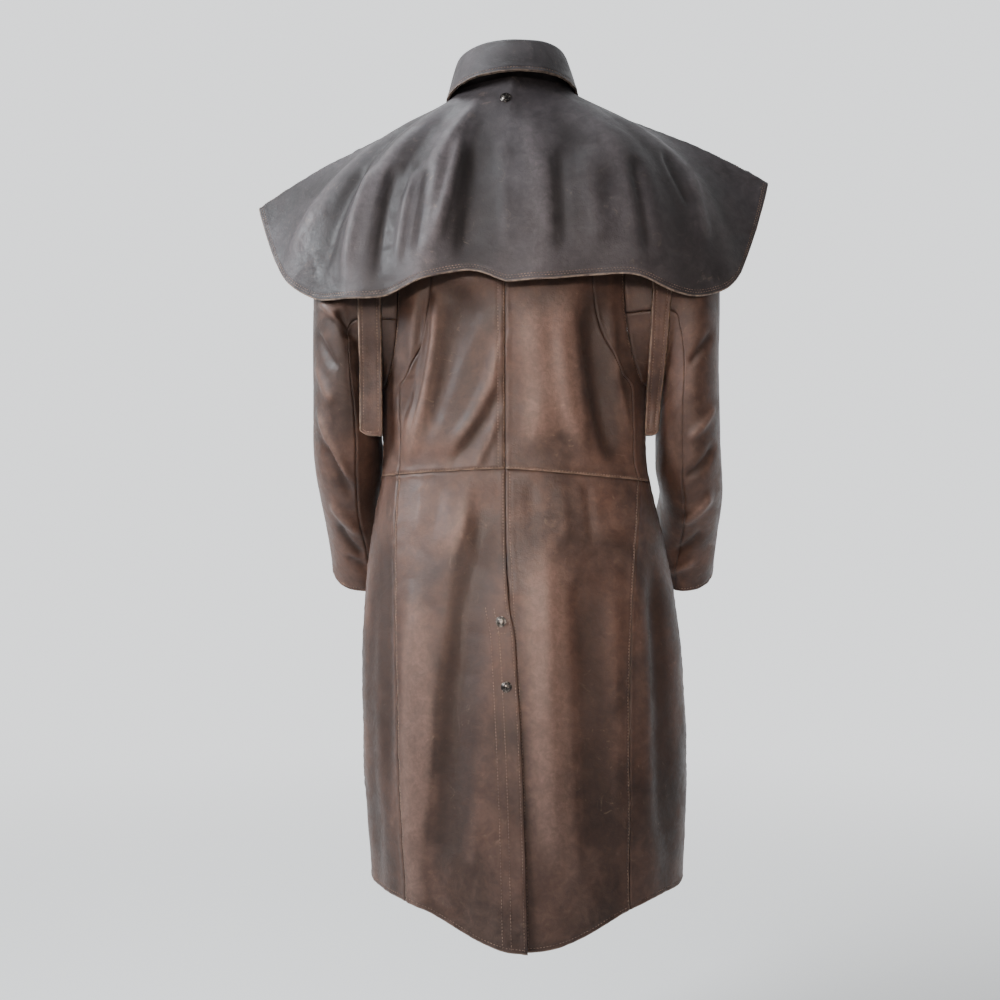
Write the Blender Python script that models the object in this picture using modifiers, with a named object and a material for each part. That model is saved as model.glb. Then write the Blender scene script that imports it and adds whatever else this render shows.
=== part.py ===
"""Long duster coat of brown leather with a shoulder cape, in the hollow form it keeps while it is worn.

Frame: +Z up, the back faces -Y, +X is the right of the coat seen from behind. The origin is at the
back of the neck opening, where the coat hangs from the shoulders. Sizes below are in millimetres.
Every cloth piece is a grid of points on a worked-out surface. Grids share their points at the seams,
the shared points share one normal, and each grid is thickened inwards along it and trimmed back by
half a seam gap, so that neighbouring walls stay parallel. That is why the closed walls are built here
rather than with Solidify, which would give each piece its own edge direction.
"""

import math

import bpy
import numpy as np
from mathutils import Vector
from mathutils.bvhtree import BVHTree

MM = 0.001
COAT = "duster_coat"

# Leather and seams
WALL = 1.8
SEAM_GAP = 0.3
LAID_GAP = 0.4
SAME_POINT = 0.05
RAY_START_Y = 1000.0
BODY_CORE_TOP_Z = -150.0
RIM_CUT = (0.21, 0.34, 1.0)

# Neck and shoulders
NECK_HALF_WIDTH = 88.0
NECK_BACK_Z = 0.0
NECK_FRONT_Z = -75.0
SHOULDER_TIP_X = 218.0
SHOULDER_NECK_Z = -2.0
SHOULDER_SLOPE = 0.415
SHOULDER_ROLL = 110.0
LEAN = 0.05
LEAN_STARTS_Z = -520.0
LEAN_FULL_Z = -150.0

# Body sections, with the half widths to each side and the half depths to back and front
SECTION_POWER = 0.87
SECTION_COLUMNS = ("z", "left", "right", "back", "front")
SECTIONS = np.array([
    (-1190.0, 203.0, 247.0, 192.0, 162.0),
    (-1110.0, 205.0, 249.0, 187.0, 158.0),
    (-1000.0, 214.0, 254.0, 177.0, 152.0),
    (-900.0, 218.0, 253.0, 166.0, 147.0),
    (-800.0, 218.0, 247.0, 154.0, 141.0),
    (-700.0, 213.0, 234.0, 141.0, 134.0),
    (-610.0, 203.0, 216.0, 126.0, 125.0),
    (-535.0, 190.0, 199.0, 115.0, 117.0),
    (-440.0, 190.0, 196.0, 117.0, 119.0),
    (-330.0, 197.0, 200.0, 124.0, 121.0),
    (-220.0, 209.0, 210.0, 124.0, 116.0),
    (-120.0, 228.0, 228.0, 108.0, 101.0),
    (-60.0, 246.0, 246.0, 97.0, 91.0),
    (0.0, 260.0, 260.0, 90.0, 84.0),
    (40.0, 265.0, 265.0, 90.0, 80.0),
])

# How far the centre back stands to the side at each height
CENTRE_COLUMNS = ("z", "x")
CENTRE_BACK = np.array([
    (-1190.0, 13.5),
    (-1020.0, 9.5),
    (-880.0, 4.0),
    (-790.0, -1.0),
    (-720.0, -5.5),
    (-650.0, -9.0),
    (-535.0, -10.0),
    (0.0, -10.0),
])
CENTRE_FADE_FROM_Z = -90.0
CENTRE_FADE_SPAN = 160.0

# Heights of the waist seam and the hem, and the angles of the long seams from the centre back
WAIST_BACK_Z = -533.0
WAIST_DROP = {-1: 9.0, 1: 17.0}
HEM_SIDE_Z = -1120.0
HEM_BACK_Z = -1176.0
HEM_FRONT_Z = -1118.0
HEM_DIP_POWER = 9.0
BACK_SEAM_AT_WAIST = {-1: 55.0, 1: 62.0}
BACK_SEAM_AT_HEM = {-1: 44.0, 1: 34.5}
BACK_SEAM_BEND = 3.5
SIDE_SEAM_AT_WAIST = 80.0
SIDE_SEAM_AT_HEM = 88.0
PRINCESS_SHOULDER_X = 150.0
FRONT_LAP = 8.0
FRONT_LAP_LIFT = 3.4
FRONT_LAP_ENDS_X = 70.0
FRONT_LAP_FADES = 25.0

# Armhole on each side, as the angle and height of its back and front edges from underarm to tip
UNDERARM_Z = -420.0
UNDERARM_ROW = 2
BODY_ROWS = 10
ARMHOLE_COLUMNS = ("share", "back_angle", "front_angle", "back_z", "front_z")
ARMHOLE = np.array([
    (0.0, 80.0, 80.0, -420.0, -420.0),
    (0.125, 70.0, 94.0, -409.0, -408.0),
    (0.25, 58.5, 109.0, -373.0, -370.0),
    (0.375, 51.5, 122.0, -317.0, -312.0),
    (0.5, 48.0, 129.0, -250.0, -246.0),
    (0.75, 49.5, 129.5, -128.0, -126.0),
    (0.875, 53.0, 126.0, -84.0, -84.0),
    (1.0, 60.0, 120.0, -56.0, -56.0),
])

# Numbers of cells across the panels and down the skirt
BACK_CELLS = 8
NECK_BACK_CELLS = 5
SIDE_BACK_CELLS = 3
SKIRT_BACK_CELLS = 9
SKIRT_SIDE_CELLS = 5
NECK_FRONT_CELLS = 6
FRONT_CELLS = NECK_FRONT_CELLS + BACK_CELLS - NECK_BACK_CELLS + SIDE_BACK_CELLS
SKIRT_ROWS = 13

# Sleeve rings: outer_x, outer_z, inner_x and inner_z of the outer and the inner line seen from behind,
# half_depth, middle_y, tilt, how far the right ring is moved out and the left ring's inner line in
SLEEVE_POWER = 0.9
SLEEVE = np.array([
    (250.0, -92.0, 205.0, -415.0, 92.0, 0.0, 0.0, 3.0, 0.0),
    (276.0, -150.0, 208.0, -422.0, 94.0, 0.0, 0.0, 6.0, 0.0),
    (288.0, -225.0, 203.0, -438.0, 94.0, 1.0, 0.0, 11.0, 0.0),
    (291.0, -305.0, 202.0, -450.0, 91.0, 2.0, 0.0, 12.0, 3.0),
    (291.0, -385.0, 201.0, -474.0, 87.0, 5.0, 0.0, 12.0, 7.5),
    (292.0, -445.0, 200.0, -502.0, 83.0, 12.0, 6.0, 13.5, 8.5),
    (294.0, -505.0, 199.0, -535.0, 80.0, 27.0, 16.0, 16.0, 6.5),
    (290.0, -558.0, 196.0, -575.0, 74.0, 62.0, 28.0, 29.0, 0.0),
    (286.0, -614.0, 189.0, -622.0, 69.0, 108.0, 34.0, 33.0, 0.0),
    (281.0, -678.0, 181.0, -682.0, 64.0, 146.0, 36.0, 38.0, 0.0),
])
UNDER_SLEEVE_CELLS = 3
SLEEVE_CORE_X = 246.0
SLEEVE_CORE_Y = 8.0

# Shoulder cape: for each angle from the centre back, where it leans out and where its hem lies
CAPE_NECK_OUT = -1.0
CAPE_NECK_BACK_OUT = 9.0
CAPE_NECK_FRONT_OUT = 13.0
CAPE_RISE = 24.0
CAPE_RISE_LOST_IN_FRONT = 12.0
CAPE_SPREAD = 2.5
CAPE_STAND = 34.0
CAPE_SHIFT = -8.0
CAPE_FOLDS_START = 0.12
CAPE_FOLDS_LOST = 0.35
CAPE_OUT_ACROSS = 0.6
CAPE_OUT_UP = 0.35
CAPE_ROWS = 9
CAPE_COLUMNS = ("angle", "over_x", "over_y", "over_z",
                "left_x", "left_y", "left_z", "right_x", "right_y", "right_z")
CAPE = np.array([
    (0.0, 0.0, -140.0, -100.0, 0.0, -152.0, -280.0, 0.0, -152.0, -280.0),
    (12.0, 60.0, -140.0, -92.0, 54.0, -151.0, -261.0, 55.0, -151.0, -279.0),
    (25.0, 130.0, -138.0, -75.0, 125.0, -146.0, -276.0, 120.0, -147.0, -274.0),
    (38.0, 190.0, -128.0, -55.0, 180.0, -136.0, -292.0, 172.0, -139.0, -277.0),
    (50.0, 235.0, -112.0, -42.0, 235.0, -117.0, -292.0, 225.0, -120.0, -295.0),
    (62.0, 262.0, -88.0, -36.0, 285.0, -90.0, -281.0, 276.0, -95.0, -298.0),
    (74.0, 268.0, -55.0, -34.0, 328.0, -56.0, -243.0, 322.0, -62.0, -270.0),
    (84.0, 250.0, -22.0, -32.0, 358.0, -22.0, -176.0, 360.0, -22.0, -188.0),
    (90.0, 230.0, 0.0, -30.0, 373.0, 0.0, -130.0, 378.0, 0.0, -130.0),
    (98.0, 240.0, 28.0, -32.0, 360.0, 28.0, -170.0, 362.0, 28.0, -176.0),
    (110.0, 250.0, 66.0, -36.0, 330.0, 72.0, -228.0, 332.0, 72.0, -232.0),
    (125.0, 225.0, 102.0, -48.0, 270.0, 112.0, -272.0, 270.0, 112.0, -275.0),
    (140.0, 170.0, 128.0, -75.0, 190.0, 138.0, -285.0, 190.0, 138.0, -286.0),
    (155.0, 104.0, 140.0, -110.0, 105.0, 152.0, -282.0, 105.0, 152.0, -282.0),
    (168.0, 50.0, 146.0, -140.0, 42.0, 158.0, -272.0, 42.0, 158.0, -272.0),
])
CAPE_BACK_CELLS = 15
CAPE_FRONT_CELLS = 10

# Collar: heights and reach of the fold line and of the fall's edge round the neck
FOLD_RADIUS = 4.0
COLLAR_COLUMNS = ("share", "fold_x", "fold_y", "fold_z", "edge_x", "edge_y", "edge_z")
COLLAR = np.array([
    (0.0, 0.0, -66.0, 79.0, 0.0, -93.0, 25.0),
    (0.17, 41.0, -57.0, 77.0, 50.0, -81.0, 23.0),
    (0.33, 70.0, -33.0, 70.0, 83.0, -49.0, 17.0),
    (0.5, 81.0, 4.0, 55.0, 98.0, 2.0, 11.0),
    (0.67, 72.0, 42.0, 28.0, 96.0, 66.0, -14.0),
    (0.83, 44.0, 72.0, -8.0, 68.0, 112.0, -52.0),
    (0.93, 19.0, 82.0, -34.0, 42.0, 128.0, -86.0),
])

# Straps that hang behind the armholes: side, top_x, top_z, bottom_x, bottom_z of the middle line,
# top_width and bottom_width
STRAPS = ((-1, -201.0, -205.0, -200.0, -486.0, 33.5, 33.5),
          (1, 213.0, -190.0, 201.0, -484.0, 32.0, 21.0))
STRAP_ROWS = 10
STRAP_CELLS = 4
STRAP_CORNER = 8.0
STRAP_PROBE = 18.0
STRAP_PROBE_SPAN = 0.55

# Vent at the centre back: the left edge laps over the right, with a facing strip under both
VENT_TOP_Z = -655.0
VENT_LAP = 6.0
VENT_LIFT = 3.4
VENT_OPENS = 55.0
VENT_FLARE = 5.0
VENT_STRIP = 34.0
VENT_STRIP_CELLS = 3
VENT_STRIP_LEFT = 0.75
VENT_STRIP_ABOVE = 30.0
VENT_STRIP_SHORT = 4.0
VENT_STRIP_UNDER = 0.6

# Snaps: dome diameter and height
SNAP_DIAMETER = 15.0
SNAP_HEIGHT = 3.4
SNAP_STEPS = 14
VENT_SNAPS = ((-16.0, -741.0), (-9.0, -828.0))
CAPE_SNAP = (-10.0, -10.0)
FRONT_SNAPS = 6
FRONT_SNAP_TOP_Z = -150.0
FRONT_SNAP_PITCH = 112.0

# Long soft folds of the body: top_angle, top_z, low_angle, low_z, width, depth outwards
BODY_FOLDS = np.array([
    (-33.0, -240.0, -48.0, -520.0, 4.0, 4.0),
    (-23.0, -230.0, -36.0, -440.0, 6.0, -5.0),
    (-3.0, -300.0, -30.0, -500.0, 5.0, 4.0),
    (22.0, -250.0, 24.0, -480.0, 7.0, 4.0),
    (33.0, -240.0, 42.0, -520.0, 6.0, -4.5),
    (-20.0, -560.0, -26.0, -1100.0, 6.0, -6.5),
    (-34.0, -640.0, -40.0, -1170.0, 6.0, 5.0),
    (-9.0, -560.0, -14.0, -1120.0, 5.0, 4.5),
    (14.0, -560.0, 20.0, -1140.0, 6.0, -6.0),
    (29.0, -560.0, 30.0, -1170.0, 6.0, 6.0),
    (-66.0, -600.0, -66.0, -1150.0, 8.0, -5.0),
    (58.0, -600.0, 56.0, -1150.0, 8.0, -5.0),
    (-116.0, -620.0, -112.0, -1150.0, 8.0, -6.0),
    (118.0, -620.0, 114.0, -1150.0, 8.0, -6.0),
    (-144.0, -560.0, -140.0, -1150.0, 8.0, 5.0),
    (146.0, -580.0, 142.0, -1150.0, 8.0, 5.0),
    (-150.0, -180.0, -136.0, -500.0, 7.0, -4.0),
    (150.0, -180.0, 136.0, -500.0, 7.0, -4.0),
])

# Radial folds of the cape: angle, width, depth outwards, and where along the cape it is deepest
CAPE_FOLDS = np.array([
    (-13.0, 5.0, -7.0, 0.62),
    (-24.0, 4.5, 7.0, 0.55),
    (-36.0, 4.5, -5.0, 0.7),
    (-47.0, 4.5, 5.0, 0.7),
    (-60.0, 5.0, -6.0, 0.75),
    (-72.0, 4.5, 4.0, 0.75),
    (8.0, 5.0, 5.0, 0.6),
    (24.0, 6.0, -5.0, 0.65),
    (38.0, 6.0, 5.0, 0.7),
    (55.0, 6.0, -5.0, 0.75),
    (72.0, 5.0, 4.0, 0.75),
    (-112.0, 7.0, -5.0, 0.7),
    (-136.0, 7.0, 5.0, 0.7),
    (112.0, 7.0, -5.0, 0.7),
    (136.0, 7.0, 5.0, 0.7),
])


def smooth_between(table, columns, name, at):
    """Cubic curve through one column of a table, with slopes taken from the rows on both sides."""
    keys = table[:, 0]
    values = table[:, columns.index(name)]
    slopes = np.gradient(values, keys)
    at = np.clip(np.asarray(at, float), keys[0], keys[-1])
    row = np.clip(np.searchsorted(keys, at) - 1, 0, len(keys) - 2)
    step = keys[row + 1] - keys[row]
    t = (at - keys[row]) / step
    start = (1 + 2 * t) * (1 - t) ** 2 * values[row] + t * (1 - t) ** 2 * step * slopes[row]
    return start + t * t * (3 - 2 * t) * values[row + 1] + t * t * (t - 1) * step * slopes[row + 1]


def ease(value):
    """Soft step from 0 to 1."""
    value = np.clip(value, 0.0, 1.0)
    return value * value * (3.0 - 2.0 * value)


def shoulder_height(x):
    """Height of the shoulder line over a place across the coat."""
    return SHOULDER_NECK_Z - SHOULDER_SLOPE * (np.abs(x) - NECK_HALF_WIDTH)


def leaned(points):
    """The left shoulder hangs a little lower than the right one."""
    share = ease((points[..., 2] - LEAN_STARTS_Z) / (LEAN_FULL_Z - LEAN_STARTS_Z))
    out = points.copy()
    out[..., 2] += LEAN * out[..., 0] * share
    return out


def half_width(side, z):
    """Half width of the body's section to one side."""
    left = smooth_between(SECTIONS, SECTION_COLUMNS, "left", z)
    right = smooth_between(SECTIONS, SECTION_COLUMNS, "right", z)
    return np.where(side < 0, left, right)


def fold_relief(angle, z):
    """Sum of soft ridges and troughs, each a bell across a slanted line and tapered at its ends."""
    total = np.zeros(np.broadcast(angle, z).shape)
    for top_angle, top_z, low_angle, low_z, width, depth in BODY_FOLDS:
        along = (top_z - z) / (top_z - low_z)
        middle = top_angle + (low_angle - top_angle) * np.clip(along, 0.0, 1.0)
        taper = ease(along / 0.25) * ease((1.12 - along) / 0.3)
        total += depth * taper * np.exp(-((angle - middle) / width) ** 2)
    return total


def section_point(angle, z, out=0.0):
    """Superellipse section at height z, its depth rolled in under the shoulder line.

    angle is in degrees from the centre back, negative to the left; out moves the point outwards.
    """
    angle = np.asarray(angle, float)
    z = np.asarray(z, float)
    side = np.sin(np.radians(angle))
    back = np.cos(np.radians(angle))
    depth = np.where(back > 0,
                     smooth_between(SECTIONS, SECTION_COLUMNS, "back", z),
                     smooth_between(SECTIONS, SECTION_COLUMNS, "front", z))
    grown = out + fold_relief(angle, z)
    across = np.sign(side) * np.abs(side) ** SECTION_POWER
    along = np.sign(back) * np.abs(back) ** SECTION_POWER
    x = (half_width(side, z) + grown) * across
    under = np.clip((shoulder_height(x) - z) / SHOULDER_ROLL, 0.0, 1.0)
    y = -(depth + grown) * along * np.sqrt(1.0 - (1.0 - under) ** 2)
    swing = smooth_between(CENTRE_BACK, CENTRE_COLUMNS, "x", z)
    swing = swing * ease((CENTRE_FADE_FROM_Z - z) / CENTRE_FADE_SPAN)
    x = x + swing * np.clip(back, 0.0, 1.0) ** 3
    return np.stack([x, y, np.broadcast_to(z, x.shape)], axis=-1)


def body_point(angle, z, out=0.0):
    """Point of the body's section, with the lean of the shoulders."""
    return leaned(section_point(angle, z, out))


def angle_at(x, z):
    """Angle from the centre back at which the section at height z reaches the distance x."""
    share = np.clip(np.abs(x) / half_width(np.sign(x), z), 0.0, 1.0)
    return np.degrees(np.arcsin(share ** (1.0 / SECTION_POWER)))


def waist_height(angle, side):
    """Height of the waist seam, a little lower at the sides."""
    return WAIST_BACK_Z - WAIST_DROP[side] * np.abs(np.sin(np.radians(angle)))


def hem_height(angle):
    """Height of the coat's hem, which dips at the centre back."""
    back = np.cos(np.radians(angle))
    dip = (HEM_BACK_Z - HEM_SIDE_Z) * np.clip(back, 0.0, 1.0) ** HEM_DIP_POWER
    rise = (HEM_FRONT_Z - HEM_SIDE_Z) * np.clip(-back, 0.0, 1.0)
    return HEM_SIDE_Z + dip + rise


def armhole_edge(front):
    """Angles and heights of one edge of the armhole, from the underarm up to the shoulder tip."""
    share = np.linspace(0.0, 1.0, BODY_ROWS - UNDERARM_ROW + 1)
    name = "front" if front else "back"
    angle = smooth_between(ARMHOLE, ARMHOLE_COLUMNS, name + "_angle", share)
    z = smooth_between(ARMHOLE, ARMHOLE_COLUMNS, name + "_z", share)
    tip_z = shoulder_height(SHOULDER_TIP_X)
    tip = angle_at(SHOULDER_TIP_X, tip_z)
    angle[-1] = 180.0 - tip if front else tip
    z[-1] = tip_z
    return angle, z


def neckline(share):
    """Angle and height of the neck opening: share 0 at the back, 0.5 at the side, 1 at the front."""
    turn = np.pi * np.asarray(share, float)
    x = NECK_HALF_WIDTH * np.sin(turn)
    low = np.where(share > 0.5, -np.cos(turn), 0.0)
    z = SHOULDER_NECK_Z * np.sin(turn) + (NECK_FRONT_Z - NECK_BACK_Z) * low
    z = np.minimum(z, shoulder_height(x))
    angle = angle_at(x, z)
    return np.where(share > 0.5, 180.0 - angle, angle), z


def shoulder_seam(x):
    """Angle and height of the shoulder seam at a distance across, on the back half."""
    z = shoulder_height(x)
    return angle_at(x, z), z


def patch(low, high, near, far):
    """Grid between four edges: the straight blends of both pairs, less the blend of the corners."""
    v = np.linspace(0.0, 1.0, len(near))[:, None, None]
    u = np.linspace(0.0, 1.0, len(low))[None, :, None]
    corners = ((1 - v) * ((1 - u) * low[0] + u * low[-1]) + v * ((1 - u) * high[0] + u * high[-1]))
    return (1 - v) * low + v * high + (1 - u) * near[:, None] + u * far[:, None] - corners


def upper_half(side, front):
    """Angle and height grid of one upper quarter of the body, from the centre to the armhole."""
    hole_angle, hole_z = armhole_edge(front)
    if front:
        cells = FRONT_CELLS
        middle = 180.0 + FRONT_LAP
        neck_share = np.linspace(1.0, 0.5, NECK_FRONT_CELLS + 1)
    else:
        cells = BACK_CELLS + SIDE_BACK_CELLS
        middle = 0.0
        neck_share = np.linspace(0.0, 0.5, NECK_BACK_CELLS + 1)
    inner = np.linspace(NECK_HALF_WIDTH, PRINCESS_SHOULDER_X, BACK_CELLS - NECK_BACK_CELLS + 1)[1:]
    outer = np.linspace(PRINCESS_SHOULDER_X, SHOULDER_TIP_X, SIDE_BACK_CELLS + 1)[1:]
    shoulder_x = np.concatenate([inner, outer])
    neck_angle, neck_z = neckline(neck_share)
    seam_angle, seam_z = shoulder_seam(shoulder_x)
    if front:
        seam_angle = 180.0 - seam_angle
        neck_angle[-1] = 180.0 - neck_angle[-1]
        neck_angle[0] += FRONT_LAP
    high = np.stack([np.concatenate([neck_angle, seam_angle]), np.concatenate([neck_z, seam_z])], -1)
    low_angle = waist_angles(side, front, cells, middle)
    low = np.stack([low_angle, waist_height(low_angle, side)], -1)
    rows = BODY_ROWS + 1
    near = low[0] + (high[0] - low[0]) * np.linspace(0.0, 1.0, rows)[:, None]
    side_z = np.linspace(low[-1, 1], UNDERARM_Z, UNDERARM_ROW + 1)[:-1]
    far = np.stack([np.concatenate([np.full(UNDERARM_ROW, SIDE_SEAM_AT_WAIST), hole_angle]),
                    np.concatenate([side_z, hole_z])], -1)
    return patch(low, high, near, far)


def waist_angles(side, front, cells, middle):
    """Angles of the grid's columns at the waist seam."""
    if front:
        return np.linspace(middle, SIDE_SEAM_AT_WAIST, cells + 1)
    seam = BACK_SEAM_AT_WAIST[side]
    inner = np.linspace(middle, seam, BACK_CELLS + 1)
    outer = np.linspace(seam, SIDE_SEAM_AT_WAIST, SIDE_BACK_CELLS + 1)[1:]
    return np.concatenate([inner, outer])


def skirt_columns(start_waist, end_waist, start_hem, end_hem, cells, side, start_bend=1.0, end_bend=1.0):
    """Angle and height grid of a skirt panel whose columns fan from the waist to the hem.

    An edge with a bend above 1 does most of its turning near the waist.
    """
    share = np.linspace(0.0, 1.0, cells + 1)
    down = np.linspace(0.0, 1.0, SKIRT_ROWS + 1)[:, None]
    start = start_hem + (start_waist - start_hem) * (1.0 - down) ** start_bend
    end = end_hem + (end_waist - end_hem) * (1.0 - down) ** end_bend
    angle = start + (end - start) * share
    waist, hem = angle[0], angle[-1]
    top = waist_height(waist, side)
    z = top + (hem_height(hem) - top) * down
    return np.stack([angle, z], -1)[::-1]


def on_body(side, grid, out=0.0):
    """Points of an angle and height grid on one side of the body."""
    return body_point(side * grid[..., 0], grid[..., 1], out)


def body_panels():
    """The grids of the body's panels, rows from the hem upwards."""
    panels = {}
    for side, word in ((-1, "left"), (1, "right")):
        upper = upper_half(side, front=False)
        panels["back_upper_" + word] = on_body(side, upper[:, :BACK_CELLS + 1])
        panels["side_upper_" + word] = on_body(side, upper[:, BACK_CELLS:])
        seam, hem_seam = BACK_SEAM_AT_WAIST[side], BACK_SEAM_AT_HEM[side]
        back = skirt_columns(0.0, seam, 0.0, hem_seam, SKIRT_BACK_CELLS, side, end_bend=BACK_SEAM_BEND)
        flank = skirt_columns(seam, SIDE_SEAM_AT_WAIST, hem_seam, SIDE_SEAM_AT_HEM,
                              SKIRT_SIDE_CELLS, side, start_bend=BACK_SEAM_BEND)
        panels["skirt_back_" + word] = on_body(side, back)
        panels["skirt_side_" + word] = on_body(side, flank)
        panels["front_" + word] = front_panel(side)
    lap_vent(panels["skirt_back_left"])
    return panels


def front_panel(side):
    """One whole front from hem to shoulder; the left one laps over the right one."""
    upper = upper_half(side, front=True)
    middle = 180.0 + FRONT_LAP
    lower = skirt_columns(middle, SIDE_SEAM_AT_WAIST, middle, SIDE_SEAM_AT_HEM, FRONT_CELLS, side)
    grid = np.concatenate([lower[:-1], upper])
    flat = on_body(side, grid)
    near_middle = ease((FRONT_LAP_ENDS_X - np.abs(flat[..., 0])) / FRONT_LAP_FADES)
    lift = FRONT_LAP_LIFT if side < 0 else 0.0
    return on_body(side, grid, out=lift * near_middle)


def lap_vent(points):
    """Moves the left edge of the vent over and outwards, below the top of the vent."""
    below = VENT_TOP_Z - points[:, :2, 2]
    share = np.clip(below / (VENT_TOP_Z - HEM_BACK_Z), 0.0, 1.0)
    lap = ease((VENT_TOP_Z - VENT_OPENS - points[:, 0, 2]) / VENT_OPENS)
    points[:, 0, 0] += VENT_LAP * lap
    points[:, :2, 1] -= (VENT_LIFT * ease(below / VENT_OPENS) + VENT_FLARE * share ** 2) * (1.0, 0.5)


def armhole_loop(side):
    """The armhole's points, from the underarm up the back edge to the tip and down the front."""
    back_angle, back_z = armhole_edge(front=False)
    front_angle, front_z = armhole_edge(front=True)
    up = body_point(side * back_angle, back_z)
    down = body_point(side * front_angle, front_z)
    return np.concatenate([up, down[::-1][1:]])


def sleeve_grid(side):
    """Rings from the armhole to the cuff; each ring runs as the armhole loop does."""
    loop = armhole_loop(side)
    cells = len(loop) - 1
    turn = np.pi + 2.0 * np.pi * np.arange(cells + 1) / cells
    rings = [loop]
    for row in SLEEVE:
        outer_x, outer_z, inner_x, inner_z, depth, middle_y, tilt, right_out, left_in = row
        outer = np.array([outer_x + (right_out if side > 0 else 0.0), outer_z])
        inner = np.array([inner_x + (right_out if side > 0 else -left_in), inner_z])
        middle = (outer + inner) / 2.0
        half = (outer - inner) / 2.0
        up_share = np.cos(turn)
        flat = np.sign(np.sin(turn)) * np.abs(np.sin(turn)) ** SLEEVE_POWER
        lifted = depth * flat * math.sin(math.radians(tilt))
        x = middle[0] + half[0] * up_share
        y = middle_y + depth * flat * math.cos(math.radians(tilt))
        z = middle[1] + half[1] * up_share + lifted
        rings.append(leaned(np.stack([side * x, y, z], -1)))
    return np.stack(rings)


def cape_point(angle, down):
    """Cubic curve from under the collar over the shoulder to the hem, with radial folds added."""
    angle = np.asarray(angle, float)
    size = np.abs(angle)
    side = np.sign(angle)
    turn = np.radians(size)
    back = np.cos(turn)
    neck_angle, neck_z = neckline(size / 180.0)
    neck = section_point(np.where(side < 0, -1.0, 1.0) * neck_angle, neck_z)
    radial = np.stack([side * np.sin(turn), -back, np.zeros(size.shape)], -1)
    out = (CAPE_NECK_OUT + CAPE_NECK_BACK_OUT * np.clip(back, 0.0, 1.0)
           + CAPE_NECK_FRONT_OUT * np.clip(-back, 0.0, 1.0))
    rise = CAPE_RISE - CAPE_RISE_LOST_IN_FRONT * np.clip(-back, 0.0, 1.0)
    start = neck + radial * out[..., None]
    start[..., 2] += rise
    stand = start + radial * CAPE_SPREAD
    stand[..., 2] -= CAPE_STAND
    over = np.stack([side * smooth_between(CAPE, CAPE_COLUMNS, "over_x", size),
                     smooth_between(CAPE, CAPE_COLUMNS, "over_y", size),
                     smooth_between(CAPE, CAPE_COLUMNS, "over_z", size)], -1)
    hem = [np.where(side < 0,
                    smooth_between(CAPE, CAPE_COLUMNS, "left_" + axis, size),
                    smooth_between(CAPE, CAPE_COLUMNS, "right_" + axis, size)) for axis in "xyz"]
    hem = np.stack([side * hem[0], hem[1], hem[2]], -1)
    t = np.asarray(down, float)[..., None]
    points = ((1 - t) ** 3 * start + 3 * t * (1 - t) ** 2 * stand
              + 3 * t * t * (1 - t) * over + t ** 3 * hem)
    outward = np.stack([side * np.sin(turn) * CAPE_OUT_ACROSS, -back, np.full(size.shape, CAPE_OUT_UP)], -1)
    outward /= np.linalg.norm(outward, axis=-1, keepdims=True)
    relief = np.zeros(points.shape[:-1])
    for middle, width, depth, deepest in CAPE_FOLDS:
        grows = ease((t[..., 0] - CAPE_FOLDS_START) / (deepest - CAPE_FOLDS_START))
        swell = grows * (1.0 - CAPE_FOLDS_LOST * ease((t[..., 0] - deepest) / (1.0 - deepest)))
        relief = relief + depth * swell * np.exp(-((angle - middle) / width) ** 2)
    points = points + outward * relief[..., None]
    points[..., 0] += CAPE_SHIFT * t[..., 0] * np.clip(back, 0.0, 1.0) ** 3
    return leaned(points)


def cape_panels():
    """The back of the cape and its two fronts, which meet it along the shoulder line."""
    down = np.linspace(0.0, 1.0, CAPE_ROWS + 1)[:, None]
    last = CAPE[-1, 0]
    spans = {"cape_back": np.linspace(-90.0, 90.0, 2 * CAPE_BACK_CELLS + 1),
             "cape_front_left": np.linspace(-last, -90.0, CAPE_FRONT_CELLS + 1),
             "cape_front_right": np.linspace(90.0, last, CAPE_FRONT_CELLS + 1)}
    grids = {}
    for name, angles in spans.items():
        columns = np.broadcast_to(angles, (CAPE_ROWS + 1, len(angles)))
        grids[name] = cape_point(columns, np.broadcast_to(down, columns.shape))
    return grids


def neck_points(body):
    """The top edges of the panels round the neck, from the left front's end to the right front's."""
    left = body["front_left"][-1, 1:NECK_FRONT_CELLS + 1]
    back_left = body["back_upper_left"][-1, NECK_BACK_CELLS - 1::-1]
    back_right = body["back_upper_right"][-1, 1:NECK_BACK_CELLS + 1]
    right = body["front_right"][-1, NECK_FRONT_CELLS - 1:0:-1]
    return np.concatenate([left, back_left, back_right, right])


def collar_curve(share, start):
    """Points of the collar's fold line or of the edge of its fall."""
    size = np.abs(share)
    side = np.where(share < 0, -1.0, 1.0)
    x, y, z = (smooth_between(COLLAR, COLLAR_COLUMNS, f"{start}_{axis}", size) for axis in "xyz")
    return leaned(np.stack([side * x, y, z], -1))


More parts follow.
